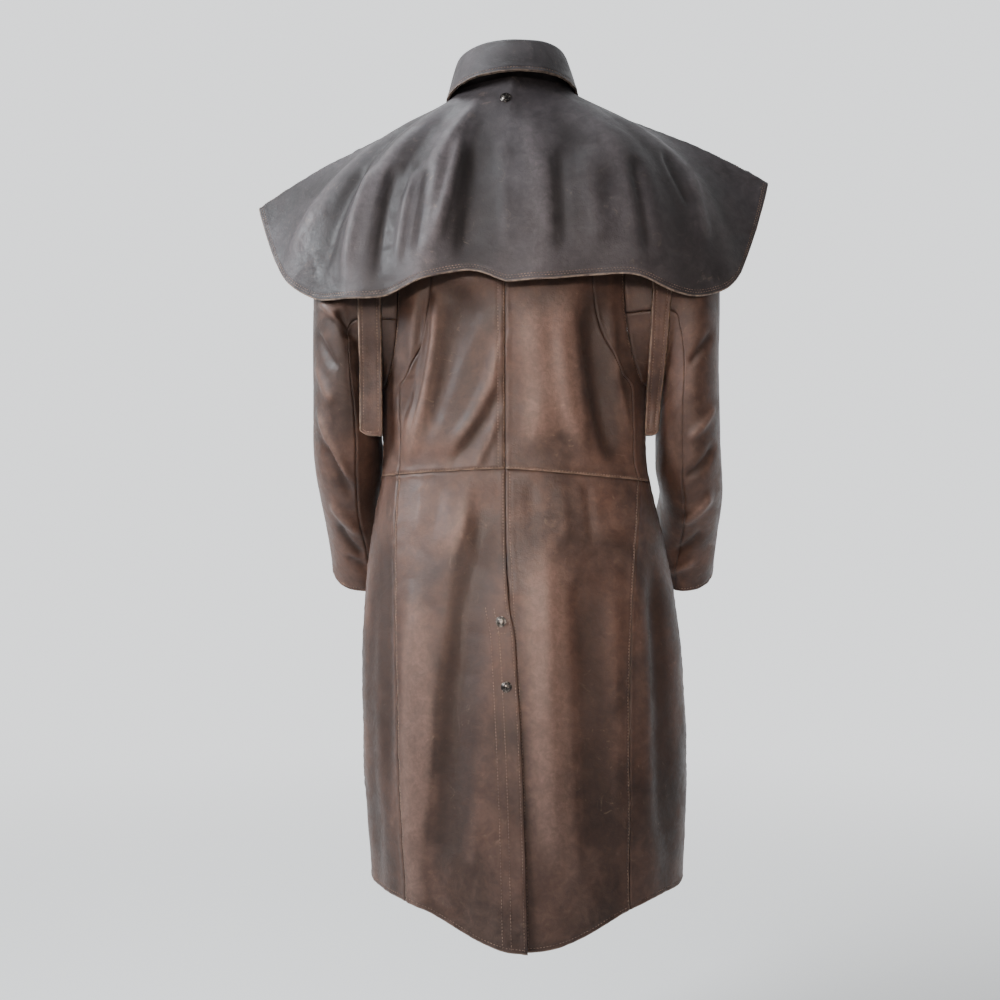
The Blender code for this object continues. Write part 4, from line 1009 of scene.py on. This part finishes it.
class Nodes:
    """A material's node tree, filled with short calls."""

    def __init__(self, name):
        self.material = bpy.data.materials.new(name)
        self.material.use_nodes = True
        self.tree = self.material.node_tree
        self.shader = self.tree.nodes["Principled BSDF"]
        self.here = self.add("ShaderNodeTexCoord").outputs["Object"]

    def add(self, kind, inputs=None, **settings):
        """A node with its inputs set to values or linked to outputs."""
        node = self.tree.nodes.new(kind)
        for key, value in settings.items():
            setattr(node, key, value)
        for key, value in (inputs or {}).items():
            if isinstance(value, bpy.types.NodeSocket):
                self.tree.links.new(value, node.inputs[key])
            else:
                node.inputs[key].default_value = value
        return node

    def noise(self, scale, detail=3.0, roughness=0.55, distortion=0.0):
        """Noise from 0 to 1, with scale in waves per metre."""
        inputs = {"Vector": self.here, "Scale": scale, "Detail": detail, "Roughness": roughness,
                  "Distortion": distortion}
        return self.add("ShaderNodeTexNoise", inputs).outputs["Fac"]

    def attribute(self, name):
        """The value kept on the vertices under a name."""
        return self.add("ShaderNodeAttribute", attribute_name=name).outputs["Fac"]

    def span(self, value, low, high, to_low=0.0, to_high=1.0):
        """Value taken smoothly from one span to another and held at its ends."""
        return self.add("ShaderNodeMapRange", {"Value": value, "From Min": low, "From Max": high,
                                               "To Min": to_low, "To Max": to_high},
                        interpolation_type="SMOOTHSTEP").outputs["Result"]

    def math(self, operation, first, second):
        """One arithmetic step."""
        return self.add("ShaderNodeMath", {0: first, 1: second}, operation=operation).outputs[0]

    def mix(self, share, first, second, blend="MIX"):
        """Colour mixed from two by a share."""
        node = self.add("ShaderNodeMix", {"Factor": share}, data_type="RGBA", blend_type=blend)
        for key, value in (("A", first), ("B", second)):
            socket = next(s for s in node.inputs if s.name == key and s.type == "RGBA")
            if isinstance(value, bpy.types.NodeSocket):
                self.tree.links.new(value, socket)
            else:
                socket.default_value = (*value, 1.0)
        return next(s for s in node.outputs if s.type == "RGBA")

    def link(self, output, name):
        """Link to one of the shader's own sockets."""
        self.tree.links.new(output, self.shader.inputs[name])

    def hold(self, values):
        """Constant values on the shader's own sockets."""
        for name, value in values.items():
            self.shader.inputs[name].default_value = value

    def bump(self, height, strength, distance, below=None):
        """Bump from a height, on top of another bump."""
        inputs = {"Height": height, "Strength": strength, "Distance": distance}
        if below is not None:
            inputs["Normal"] = below
        return self.add("ShaderNodeBump", inputs).outputs["Normal"]


def leather_finish(name, dark, middle, dust_and_highlight, tan, rough):
    """Worn waxed leather: blotched brown, with dust and a painted highlight on fold ridges, painted shade in
    fold troughs, and tan at edges.
    """
    n = Nodes(name)
    broad = n.span(n.noise(5.5, 4.0, 0.6, 0.6), 0.36, 0.66)
    blotch = n.span(n.noise(24.0, 5.0, 0.62, 0.8), 0.38, 0.68)
    fine = n.noise(190.0, 4.0, 0.65)
    colour = n.mix(broad, dark, middle)
    colour = n.mix(n.math("MULTIPLY", blotch, 0.28), colour, dust_and_highlight)
    fold = n.attribute("fold_mm")
    # Painted highlight with dust: the dust colour laid on the fold ridges, more where the folds stand higher
    ridge_dust_and_highlight = n.math("MULTIPLY", n.span(fold, 0.4, 5.0), n.span(fine, 0.3, 0.6, 0.6, 0.7))
    colour = n.mix(ridge_dust_and_highlight, colour, dust_and_highlight)
    # Painted shade: the dark colour laid in the fold troughs, more where they sink deeper
    colour = n.mix(n.span(fold, -0.4, -5.5, 0.0, 0.85), colour, dark)
    scuff = n.math("MULTIPLY", n.span(n.noise(46.0, 6.0, 0.7, 1.6), 0.58, 0.72),
                   n.span(n.noise(9.0, 2.0), 0.42, 0.62))
    colour = n.mix(n.math("MULTIPLY", scuff, 0.22), colour, tan)
    rub = n.span(n.noise(120.0, 3.0, 0.6), 0.3, 0.62, 0.25, 1.0)
    colour = n.mix(n.math("MULTIPLY", n.span(n.attribute("edge_mm"), 3.2, 0.6), rub), colour, tan)
    worn = n.attribute("worn_mm")
    beside = n.math("MULTIPLY", n.span(worn, 0.5, 1.1), n.span(worn, 2.6, 1.5))
    colour = n.mix(n.math("MULTIPLY", n.math("MULTIPLY", beside, rub), 0.6), colour, tan)
    colour = n.mix(n.span(n.attribute("seam_mm"), 1.3, 0.3, 0.0, 0.75), colour, dark)
    mottle = n.span(n.noise(62.0, 6.0, 0.68, 0.7), 0.36, 0.66, 0.84, 1.16)
    speckle = n.math("MULTIPLY", mottle, n.span(fine, 0.35, 0.7, 0.92, 1.07))
    speckle = n.add("ShaderNodeCombineColor", {0: speckle, 1: speckle, 2: speckle}).outputs[0]
    n.link(n.mix(1.0, colour, speckle, "MULTIPLY"), "Base Color")
    n.link(n.math("ADD", n.span(blotch, 0.0, 1.0, rough - 0.06, rough + 0.1),
                  n.span(fine, 0.3, 0.7, -0.05, 0.06)), "Roughness")
    n.hold({"Specular IOR Level": 0.36, "Sheen Weight": 0.04, "Sheen Roughness": 0.45,
            "Sheen Tint": (0.72, 0.74, 0.8, 1.0)})

    pebbles = n.add("ShaderNodeTexVoronoi", {"Vector": n.here, "Scale": 620.0, "Randomness": 1.0},
                    feature="SMOOTH_F1").outputs["Distance"]
    relief = n.bump(n.noise(26.0, 3.0, 0.5, 0.5), 0.34, 0.003)
    relief = n.bump(n.noise(85.0, 5.0, 0.62, 1.2), 0.32, 0.0012, relief)
    relief = n.bump(pebbles, 0.3, 0.0004, relief)
    n.link(n.bump(fine, 0.25, 0.0004, relief), "Normal")
    return n.material


def flesh_finish():
    """Suede inner side of the leather, pinkish brown and matt."""
    n = Nodes("flesh_side")
    blotch = n.span(n.noise(30.0, 5.0, 0.65), 0.35, 0.68)
    nap = n.noise(520.0, 3.0, 0.7)
    colour = n.mix(blotch, (0.075, 0.042, 0.034), (0.15, 0.09, 0.075))
    n.link(n.mix(n.span(nap, 0.35, 0.7, 0.0, 0.4), colour, (0.2, 0.13, 0.11)), "Base Color")
    n.hold({"Roughness": 0.92, "Specular IOR Level": 0.2})
    n.link(n.bump(nap, 0.5, 0.0006), "Normal")
    return n.material


def thread_finish():
    """Waxed brown thread, paler where it is worn."""
    n = Nodes("waxed_thread")
    worn = n.span(n.noise(70.0, 3.0), 0.35, 0.65)
    n.link(n.mix(worn, (0.075, 0.04, 0.027), (0.21, 0.13, 0.09)), "Base Color")
    n.hold({"Roughness": 0.62})
    n.link(n.bump(n.noise(2400.0, 1.0), 0.4, 0.0002), "Normal")
    return n.material


def snap_finish():
    """Dark plated metal, rubbed to a paler grey in places."""
    n = Nodes("dark_snap_metal")
    rub = n.span(n.noise(260.0, 4.0, 0.6), 0.46, 0.66)
    n.link(n.mix(rub, (0.04, 0.036, 0.034), (0.17, 0.15, 0.13)), "Base Color")
    n.link(n.span(rub, 0.0, 1.0, 0.2, 0.42), "Roughness")
    n.hold({"Metallic": 0.85})
    n.link(n.bump(n.noise(900.0, 2.0), 0.15, 0.0002), "Normal")
    return n.material


def side_of(name):
    """-1 for a piece on the left, 1 for any other."""
    return -1 if name.endswith("left") else 1


def lap_lift(points):
    """How far the left front is lifted near the centre, where it laps over the right."""
    return FRONT_LAP_LIFT * ease((FRONT_LAP_ENDS_X - np.abs(points[..., 0])) / FRONT_LAP_FADES)


def body_grid(name, grid):
    """Fine points of a body panel and the height of its creases."""
    side = side_of(name)
    coarse = body_point(side * grid[..., 0], grid[..., 1])
    up, across = places(coarse, 0), places(coarse, 1)
    fine = fine_grid(grid, up, across)
    angle, z = side * fine[..., 0], fine[..., 1]
    flat = body_point(angle, z)
    drawn = crease_relief(flat, BACK_CREASES)
    if name.startswith("front"):
        drawn = np.where(flat[..., 1] < 0, drawn, crease_relief(flat, FRONT_CREASES))
    drawn *= BODY_CREASE_GAIN * ease(np.abs(flat[..., 1]) / CREASES_FADE_Y)
    if name.startswith(("front", "side")):
        beside = 1.0 - ease(np.arange(grid.shape[1])[-1] - across)
        hole_row = grid.shape[0] - 1 - BODY_ROWS + UNDERARM_ROW
        drawn *= 1.0 - beside * ease(up - hole_row + 1.0)[:, None]
    points = body_point(angle, z, drawn + lap_lift(flat) if name == "front_left" else drawn)
    if name == "skirt_back_left":
        below = VENT_TOP_Z - points[..., 2]
        share = np.clip(below / (VENT_TOP_Z - HEM_BACK_Z), 0.0, 1.0)
        lift = VENT_LIFT * ease(below / VENT_OPENS) + VENT_FLARE * share ** 2
        lap = VENT_LAP * ease((below - VENT_OPENS) / VENT_OPENS)
        points[..., 0] += lap * np.interp(across, (0.0, 1.0), (1.0, 0.0))
        points[..., 1] -= lift * np.interp(across, (0.0, 1.0, 2.0), (1.0, 0.5, 0.0))
    return points, drawn + fold_relief(angle, z)


def armhole_loop(side):
    """The armhole's points, from the underarm up the back edge to the tip and down the front."""
    back_angle, back_z = armhole_edge(front=False)
    front_angle, front_z = armhole_edge(front=True)
    up = body_point(side * back_angle, back_z)
    down = body_point(side * front_angle, front_z)
    return np.concatenate([up, down[::-1][1:]])


def sleeve_rings(side):
    """Rings from the armhole to the cuff; each ring is an ellipse tilted as the arm bends."""
    loop = armhole_loop(side)
    cells = len(loop) - 1
    turn = np.pi + 2.0 * np.pi * np.arange(cells + 1) / cells
    rings = [loop]
    for outer_x, outer_z, inner_x, inner_z, depth, middle_y, tilt, right_out, left_in in SLEEVE:
        outer = np.array([outer_x + (right_out if side > 0 else 0.0), outer_z])
        inner = np.array([inner_x + (right_out if side > 0 else -left_in), inner_z])
        middle, half = (outer + inner) / 2.0, (outer - inner) / 2.0
        flat = np.sign(np.sin(turn)) * np.abs(np.sin(turn)) ** SLEEVE_POWER
        x = middle[0] + half[0] * np.cos(turn)
        y = middle_y + depth * flat * math.cos(math.radians(tilt))
        z = middle[1] + half[1] * np.cos(turn) + depth * flat * math.sin(math.radians(tilt))
        rings.append(leaned(np.stack([side * x, y, z], -1)))
    return np.stack(rings)


def fine_armhole(side, around):
    """The armhole's edge at fractional places round the loop, as the body's fine panels have it."""
    cells = BODY_ROWS - UNDERARM_ROW
    around = around % (2 * cells)
    rows = np.where(around <= cells, around, 2 * cells - around) + UNDERARM_ROW
    back = resample(upper_half(side, front=False)[:, -1], rows, 0)
    front = resample(upper_half(side, front=True)[:, -1], rows, 0)
    edge = np.where((around <= cells)[:, None], back, front)
    return body_point(side * edge[:, 0], edge[:, 1])


def sleeve_grid(name):
    """Fine points of an upper or under sleeve, read from the rings wrapped past their start."""
    side = side_of(name)
    rings = sleeve_rings(side)
    cells = rings.shape[1] - 1
    wrapped = np.concatenate([rings[:, cells - SLEEVE_WRAP:-1], rings, rings[:, 1:SLEEVE_WRAP + 1]], 1)
    if "under" in name:
        start, end = SLEEVE_WRAP - UNDER_SLEEVE_CELLS, SLEEVE_WRAP + UNDER_SLEEVE_CELLS
    else:
        start, end = SLEEVE_WRAP + UNDER_SLEEVE_CELLS, SLEEVE_WRAP + cells - UNDER_SLEEVE_CELLS
    down, around = places(wrapped, 0), places(wrapped, 1, start, end)
    points = fine_grid(wrapped, down, around)
    points += (fine_armhole(side, around - SLEEVE_WRAP) - points[0]) * (1.0 - ease(down))[:, None, None]
    drawn = SLEEVE_CREASE_GAIN * crease_relief(points, SLEEVE_CREASES)
    drawn *= ease(down / 1.5)[:, None]
    return points + outward_normals(name, points) * drawn[..., None], drawn


def cape_grid(name):
    """Fine points of the cape: a cubic from the neck over the shoulder to the hem at each angle.

    Radial folds are bells across the angle that swell down the cape; drawn creases come on top.
    """
    start, end, cells = {"cape_back": (-90.0, 90.0, 2 * CAPE_BACK_CELLS),
                         "cape_front_left": (-CAPE_ENDS, -90.0, CAPE_FRONT_CELLS),
                         "cape_front_right": (90.0, CAPE_ENDS, CAPE_FRONT_CELLS)}[name]
    coarse_angle, coarse_down = np.meshgrid(np.linspace(start, end, cells + 1),
                                            np.linspace(0.0, 1.0, CAPE_ROWS + 1))
    coarse, _ = cape_point(coarse_angle, coarse_down)
    down, across = places(coarse, 0), places(coarse[CAPE_ROWS // 2:], 1)
    angle = start + (end - start) * across[None, :] / cells
    return cape_point(np.broadcast_to(angle, (len(down), len(across))),
                      np.broadcast_to(down[:, None] / CAPE_ROWS, (len(down), len(across))))


def cape_point(angle, down):
    """Points of the cape and the height of its folds there."""
    size = np.abs(angle)
    side = np.sign(angle)
    turn = np.radians(size)
    back = np.cos(turn)
    neck_angle, neck_z = neckline(size / 180.0)
    neck = section_point(np.where(side < 0, -1.0, 1.0) * neck_angle, neck_z)
    radial = np.stack([side * np.sin(turn), -back, np.zeros(size.shape)], -1)
    out = (CAPE_NECK_OUT + CAPE_NECK_BACK_OUT * np.clip(back, 0.0, 1.0)
           + CAPE_NECK_FRONT_OUT * np.clip(-back, 0.0, 1.0))
    start = neck + radial * out[..., None]
    start[..., 2] += CAPE_RISE - CAPE_RISE_LOST_IN_FRONT * np.clip(-back, 0.0, 1.0)
    stand = start + radial * CAPE_SPREAD
    stand[..., 2] -= CAPE_STAND
    over = np.stack([side * CAPE("over_x", size), CAPE("over_y", size), CAPE("over_z", size)], -1)
    x, y, z = (np.where(side < 0, CAPE("left_" + axis, size), CAPE("right_" + axis, size)) for axis in "xyz")
    hem = np.stack([side * x, y, z], -1)
    t = down[..., None]
    points = ((1 - t) ** 3 * start + 3 * t * (1 - t) ** 2 * stand
              + 3 * t * t * (1 - t) * over + t ** 3 * hem)
    outward = unit(np.stack([side * np.sin(turn) * 0.6, -back, np.full(size.shape, 0.35)], -1))
    relief = np.zeros(size.shape)
    for middle, left, right, depth, deepest in CAPE_FOLDS:
        grows = ease((down - CAPE_FOLDS_START) / (deepest - CAPE_FOLDS_START))
        swell = grows * (1.0 - 0.35 * ease((down - deepest) / (1.0 - deepest)))
        relief = relief + depth * swell * bell((angle - middle) / np.where(angle < middle, left, right))
    behind = ease(back / 0.25)
    relief = relief + CAPE_CREASE_GAIN * crease_relief(points, CAPE_CREASES) * behind
    points = points + outward * relief[..., None]
    points[..., 0] += CAPE_SHIFT * down * np.clip(back, 0.0, 1.0) ** 3
    return leaned(points), relief


def collar_curve(share, start):
    """Points of the collar's fold line or of the edge of its fall."""
    size = np.abs(share)
    side = np.where(share < 0, -1.0, 1.0)
    x, y, z = (COLLAR(f"{start}_{axis}", size) for axis in "xyz")
    return leaned(np.stack([side * x, y, z], -1))


def collar_grid(name, patches):
    """Fine points of the stand, from the neck seam to under the fold, or of the fall folded over it."""
    tops = []
    for side, word in SIDES:
        back = patches["back_upper_" + word][-1, :NECK_BACK_CELLS + 1]
        front = patches["front_" + word][-1, :NECK_FRONT_CELLS + 1]
        angle, z = side * front[:, 0], front[:, 1]
        lift = lap_lift(body_point(angle, z)) * (side < 0)
        tops += [body_point(side * back[:, 0], back[:, 1]), body_point(angle, z, lift)]
    neck = np.concatenate([tops[1][1:], tops[0][-2::-1], tops[2][1:], tops[3][-2:0:-1]])
    behind = np.linspace(0.0, 0.5, NECK_BACK_CELLS + 1)
    before = np.linspace(0.5, 1.0, NECK_FRONT_CELLS + 1)[1:-1]
    half = np.concatenate([behind, before])
    share = np.concatenate([-half[:0:-1], half])
    fold, edge = collar_curve(share, "fold"), collar_curve(share, "edge")
    inward = -unit(fold * (1.0, 1.0, 0.0))
    seam = fold + inward * FOLD_RADIUS - (0.0, 0.0, 2.4 * FOLD_RADIUS)
    if name == "collar_stand":
        rows = np.linspace(0.0, 1.0, 5)[:, None, None]
        coarse = neck + (seam - neck) * rows
    else:
        crown = [seam]
        for turn in np.radians((180.0, 130.0, 90.0, 50.0, 0.0)):
            crown.append(fold - inward * FOLD_RADIUS * math.cos(turn)
                         + np.array((0.0, 0.0, FOLD_RADIUS)) * (math.sin(turn) - 1.0))
        outer = crown[-1]
        for t in (0.33, 0.67, 1.0):
            crown.append(outer + (edge - outer) * t + np.array((0.0, 0.0, 3.0)) * math.sin(math.pi * t))
        coarse = np.stack(crown)
    run = np.pad(steps(coarse, 0).mean(axis=1).cumsum(), (1, 0))
    near = np.array(NEAR_BORDER)
    even = np.concatenate([near[:-1], np.linspace(near[-1], run[-1] - near[-1], COLLAR_MIDDLE_ROWS),
                           run[-1] - near[-2::-1]])
    up = np.interp(even, run, np.arange(len(run)))
    points = fine_grid(coarse, up, places(coarse, 1))
    return points, np.zeros(points.shape[:2])


def ray_tree(piece):
    """Search tree over an object's own mesh, in metres."""
    mesh = piece.data
    return BVHTree.FromPolygons([v.co for v in mesh.vertices], [tuple(p.vertices) for p in mesh.polygons])


def hit_from(tree, x, z, front=False):
    """Place and outward direction, in millimetres, where a level line meets a surface."""
    ahead = -1.0 if front else 1.0
    place, normal, _, _ = tree.ray_cast(Vector((x * MM, -ahead, z * MM)), Vector((0.0, ahead, 0.0)))
    if normal.y * ahead > 0:
        normal = -normal
    return np.array(place) / MM, np.array(normal)


def strap_grid(name):
    """A flat strip whose middle line follows its solid, with its outer lower corner rounded off."""
    side = side_of(name)
    _, top_x, top_z, bottom_x, bottom_z, top_width, bottom_width = STRAPS[0 if side < 0 else 1]
    tree = ray_tree(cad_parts[name])
    down = np.linspace(0.0, 1.0, STRAP_ROWS + 1)
    height = top_z + (bottom_z - top_z) * down
    middle = top_x + (bottom_x - top_x) * down
    inside = np.clip(height, bottom_z + 1.0, top_z - 1.0)
    y = np.array([hit_from(tree, x, z)[0][1] for x, z in zip(middle, inside)])
    across = np.linspace(-0.5, 0.5, 5)
    width = top_width + (bottom_width - top_width) * down
    coarse = np.stack([middle[:, None] + width[:, None] * across, np.repeat(y[:, None], 5, 1),
                       np.repeat(height[:, None], 5, 1)], -1)
    coarse[-1, :, 2] += STRAP_CORNER * np.clip(2.0 * side * across, 0.0, 1.0) ** 2
    points = fine_grid(coarse, places(coarse, 0), places(coarse, 1))
    bend = 1.2 * np.sin(points[..., 2] / 46.0 + side) * ease((top_z - points[..., 2]) / 60.0)
    points[..., 1] -= np.clip(bend, 0.0, None)
    return points, np.zeros(points.shape[:2])


def vent_strip_grid():
    """The strip under both edges of the vent, made from the body's points moved inwards."""
    across = np.linspace(*VENT_STRIP_SPAN, 4) * VENT_STRIP
    low, high = VENT_STRIP_ENDS
    z = np.linspace(HEM_BACK_Z + low, VENT_TOP_Z + high, SKIRT_ROWS - 1)[:, None] + np.zeros(len(across))
    lateral = np.broadcast_to(across, z.shape)
    coarse = body_point(np.sign(lateral) * angle_at(lateral, z), z,
                        out=-(WALL + LAID_GAP + VENT_STRIP_UNDER))
    points = fine_grid(coarse, places(coarse, 0), places(coarse, 1))
    points[..., 1] -= BODY_CREASE_GAIN * crease_relief(points, BACK_CREASES)
    return points, np.zeros(points.shape[:2])


def snap_cap(name, place, normal, metal):
    """Domed cap with a rolled rim: a profile turned about the surface normal and closed underneath."""
    up = unit(normal)
    across = unit(np.cross(up, (0.0, 0.0, 1.0)))
    other = np.cross(up, across)
    turn = np.arange(SNAP_STEPS) * 2.0 * np.pi / SNAP_STEPS
    radius = np.array([r for r, _ in SNAP_PROFILE[1:]]) * SNAP_RADIUS
    height = np.array([h for _, h in SNAP_PROFILE[1:]])
    circle = np.cos(turn)[:, None] * across + np.sin(turn)[:, None] * other
    rings = place + radius[:, None, None] * circle + (height[:, None, None] + LAID_GAP) * up
    poles = np.stack([place + (SNAP_PROFILE[0][1] + LAID_GAP) * up, place + LAID_GAP * up])
    count = len(radius)
    index = np.arange(count * SNAP_STEPS).reshape(count, SNAP_STEPS)
    after = np.roll(index, -1, axis=1)
    faces = np.stack([index[:-1], index[1:], after[1:], after[:-1]], -1).reshape(-1, 4).tolist()
    top, bottom = count * SNAP_STEPS, count * SNAP_STEPS + 1
    faces += [(top, int(a), int(b)) for a, b in zip(index[0], after[0])]
    faces += [(bottom, int(b), int(a)) for a, b in zip(index[-1], after[-1])]
    piece = new_object(name + "_cap", np.concatenate([rings.reshape(-1, 3), poles]), faces, [metal])
    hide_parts(name)
    return piece


def all_grids():
    """Fine grid and fold heights of every leather piece, by name."""
    patches = body_patches()
    grids = {name: body_grid(name, grid) for name, grid in patches.items()}
    for word in ("left", "right"):
        for part in ("sleeve_upper_", "sleeve_under_"):
            grids[part + word] = sleeve_grid(part + word)
        grids["armhole_strap_" + word] = strap_grid("armhole_strap_" + word)
    for name in ("cape_back", "cape_front_left", "cape_front_right"):
        grids[name] = cape_grid(name)
    for name in ("collar_stand", "collar_fall"):
        grids[name] = collar_grid(name, patches)
    grids["vent_strip"] = vent_strip_grid()
    return grids


def piece_row(name):
    """The finishes of a piece's borders, how it is held, and the nodes it hangs from or lies on."""
    kinds, how, base = next(row for kind, row in PIECES.items() if name.startswith(kind))
    if base.endswith("_"):
        base += name.rpartition("_")[2]
    return kinds.split(), how, base.split()


def make_coat():
    """Builds every piece in its leather, sews it and adds the snaps."""
    leathers = {slot: leather_finish(*row) for slot, row in LEATHERS.items()}
    inside, thread, metal = flesh_finish(), thread_finish(), snap_finish()
    built = {}
    for name, (points, fold) in all_grids().items():
        kinds, how, rests = piece_row(name)
        slot = "brown_leather"
        if name.startswith(("cape", "collar")):
            slot = "cape_leather"
        elif name.startswith("armhole"):
            slot = "strap_leather"
        piece, outer, normals = leather_wall(name, points, kinds, [leathers[slot], inside], fold)
        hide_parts(name)
        sewn = sew(name, outer, normals, kinds, thread)
        built[name] = piece
    tree = ray_tree(built["skirt_back_left"])
    for number, (x, z) in enumerate(VENT_SNAPS, 1):
        snap_cap(f"vent_snap_{number}", *hit_from(tree, x, z), metal)
    snap_cap("cape_snap", *hit_from(ray_tree(built["cape_back"]), *CAPE_SNAP), metal)
    tree = ray_tree(built["front_left"])
    for number in range(FRONT_SNAPS):
        z = FRONT_SNAP_TOP_Z - number * FRONT_SNAP_PITCH
        snap_cap(f"front_snap_{number + 1}", *hit_from(tree, 0.0, z, front=True), metal)


def area_light(name, place, target, size, power, colour, spread):
    """Square soft light aimed at a point."""
    light = bpy.data.lights.new(name, "AREA")
    light.shape = "SQUARE"
    light.size = size
    light.energy = power
    light.color = colour
    light.spread = math.radians(spread)
    lamp = add_object(name, light)
    lamp.location = place
    lamp.rotation_euler = (Vector(target) - Vector(place)).to_track_quat("-Z", "Y").to_euler()


def make_studio():
    """Camera at the photograph's angle, soft lights, pale surroundings and a pale floor."""
    view = bpy.data.cameras.new("camera")
    view.lens = CAMERA_LENS
    view.sensor_width = 36.0
    camera = add_object("camera", view)
    camera.location = CAMERA_PLACE
    camera.rotation_euler = (math.pi / 2.0, 0.0, 0.0)
    bpy.context.scene.camera = camera
    for row in LIGHTS:
        area_light(*row)
    world = bpy.data.worlds.new("pale_room")
    world.use_nodes = True
    tree = world.node_tree
    heading = tree.nodes.new("ShaderNodeSeparateXYZ")
    tree.links.new(tree.nodes.new("ShaderNodeTexCoord").outputs["Generated"], heading.inputs[0])
    fade = tree.nodes.new("ShaderNodeMapRange")
    fade.interpolation_type = "SMOOTHSTEP"
    for name, value in zip(("From Min", "From Max", "To Min", "To Max"), HEADINGS + GLOW):
        fade.inputs[name].default_value = value
    tree.links.new(heading.outputs["Y"], fade.inputs["Value"])
    tree.links.new(fade.outputs["Result"], tree.nodes["Background"].inputs["Strength"])
    tree.nodes["Background"].inputs["Color"].default_value = ROOM_COLOUR
    bpy.context.scene.world = world
    plain = Nodes("pale_floor")
    length = plain.add("ShaderNodeVectorMath", {0: plain.here}, operation="LENGTH").outputs["Value"]
    away = plain.span(length, *FLOOR_FADES)
    heading = plain.add("ShaderNodeVectorMath", {0: plain.here}, operation="NORMALIZE").outputs["Vector"]
    glow = plain.span(plain.add("ShaderNodeSeparateXYZ", {0: heading}).outputs["Y"], *HEADINGS, *GLOW)
    plain.link(plain.mix(away, (0.82, 0.82, 0.81), (0.0, 0.0, 0.0)), "Base Color")
    plain.link(plain.math("MULTIPLY", away, glow), "Emission Strength")
    plain.hold({"Emission Color": ROOM_COLOUR, "Roughness": 1.0, "Specular IOR Level": 0.0})
    mesh = bpy.data.meshes.new("floor")
    mesh.from_pydata([(x * FLOOR_REACH, y * FLOOR_REACH, FLOOR_Z) for x, y in
                      ((-1, -1), (1, -1), (1, 1), (-1, 1))], [], [(0, 1, 2, 3)])
    mesh.materials.append(plain.material)
    floor = add_object("floor", mesh)


make_coat()
make_studio()
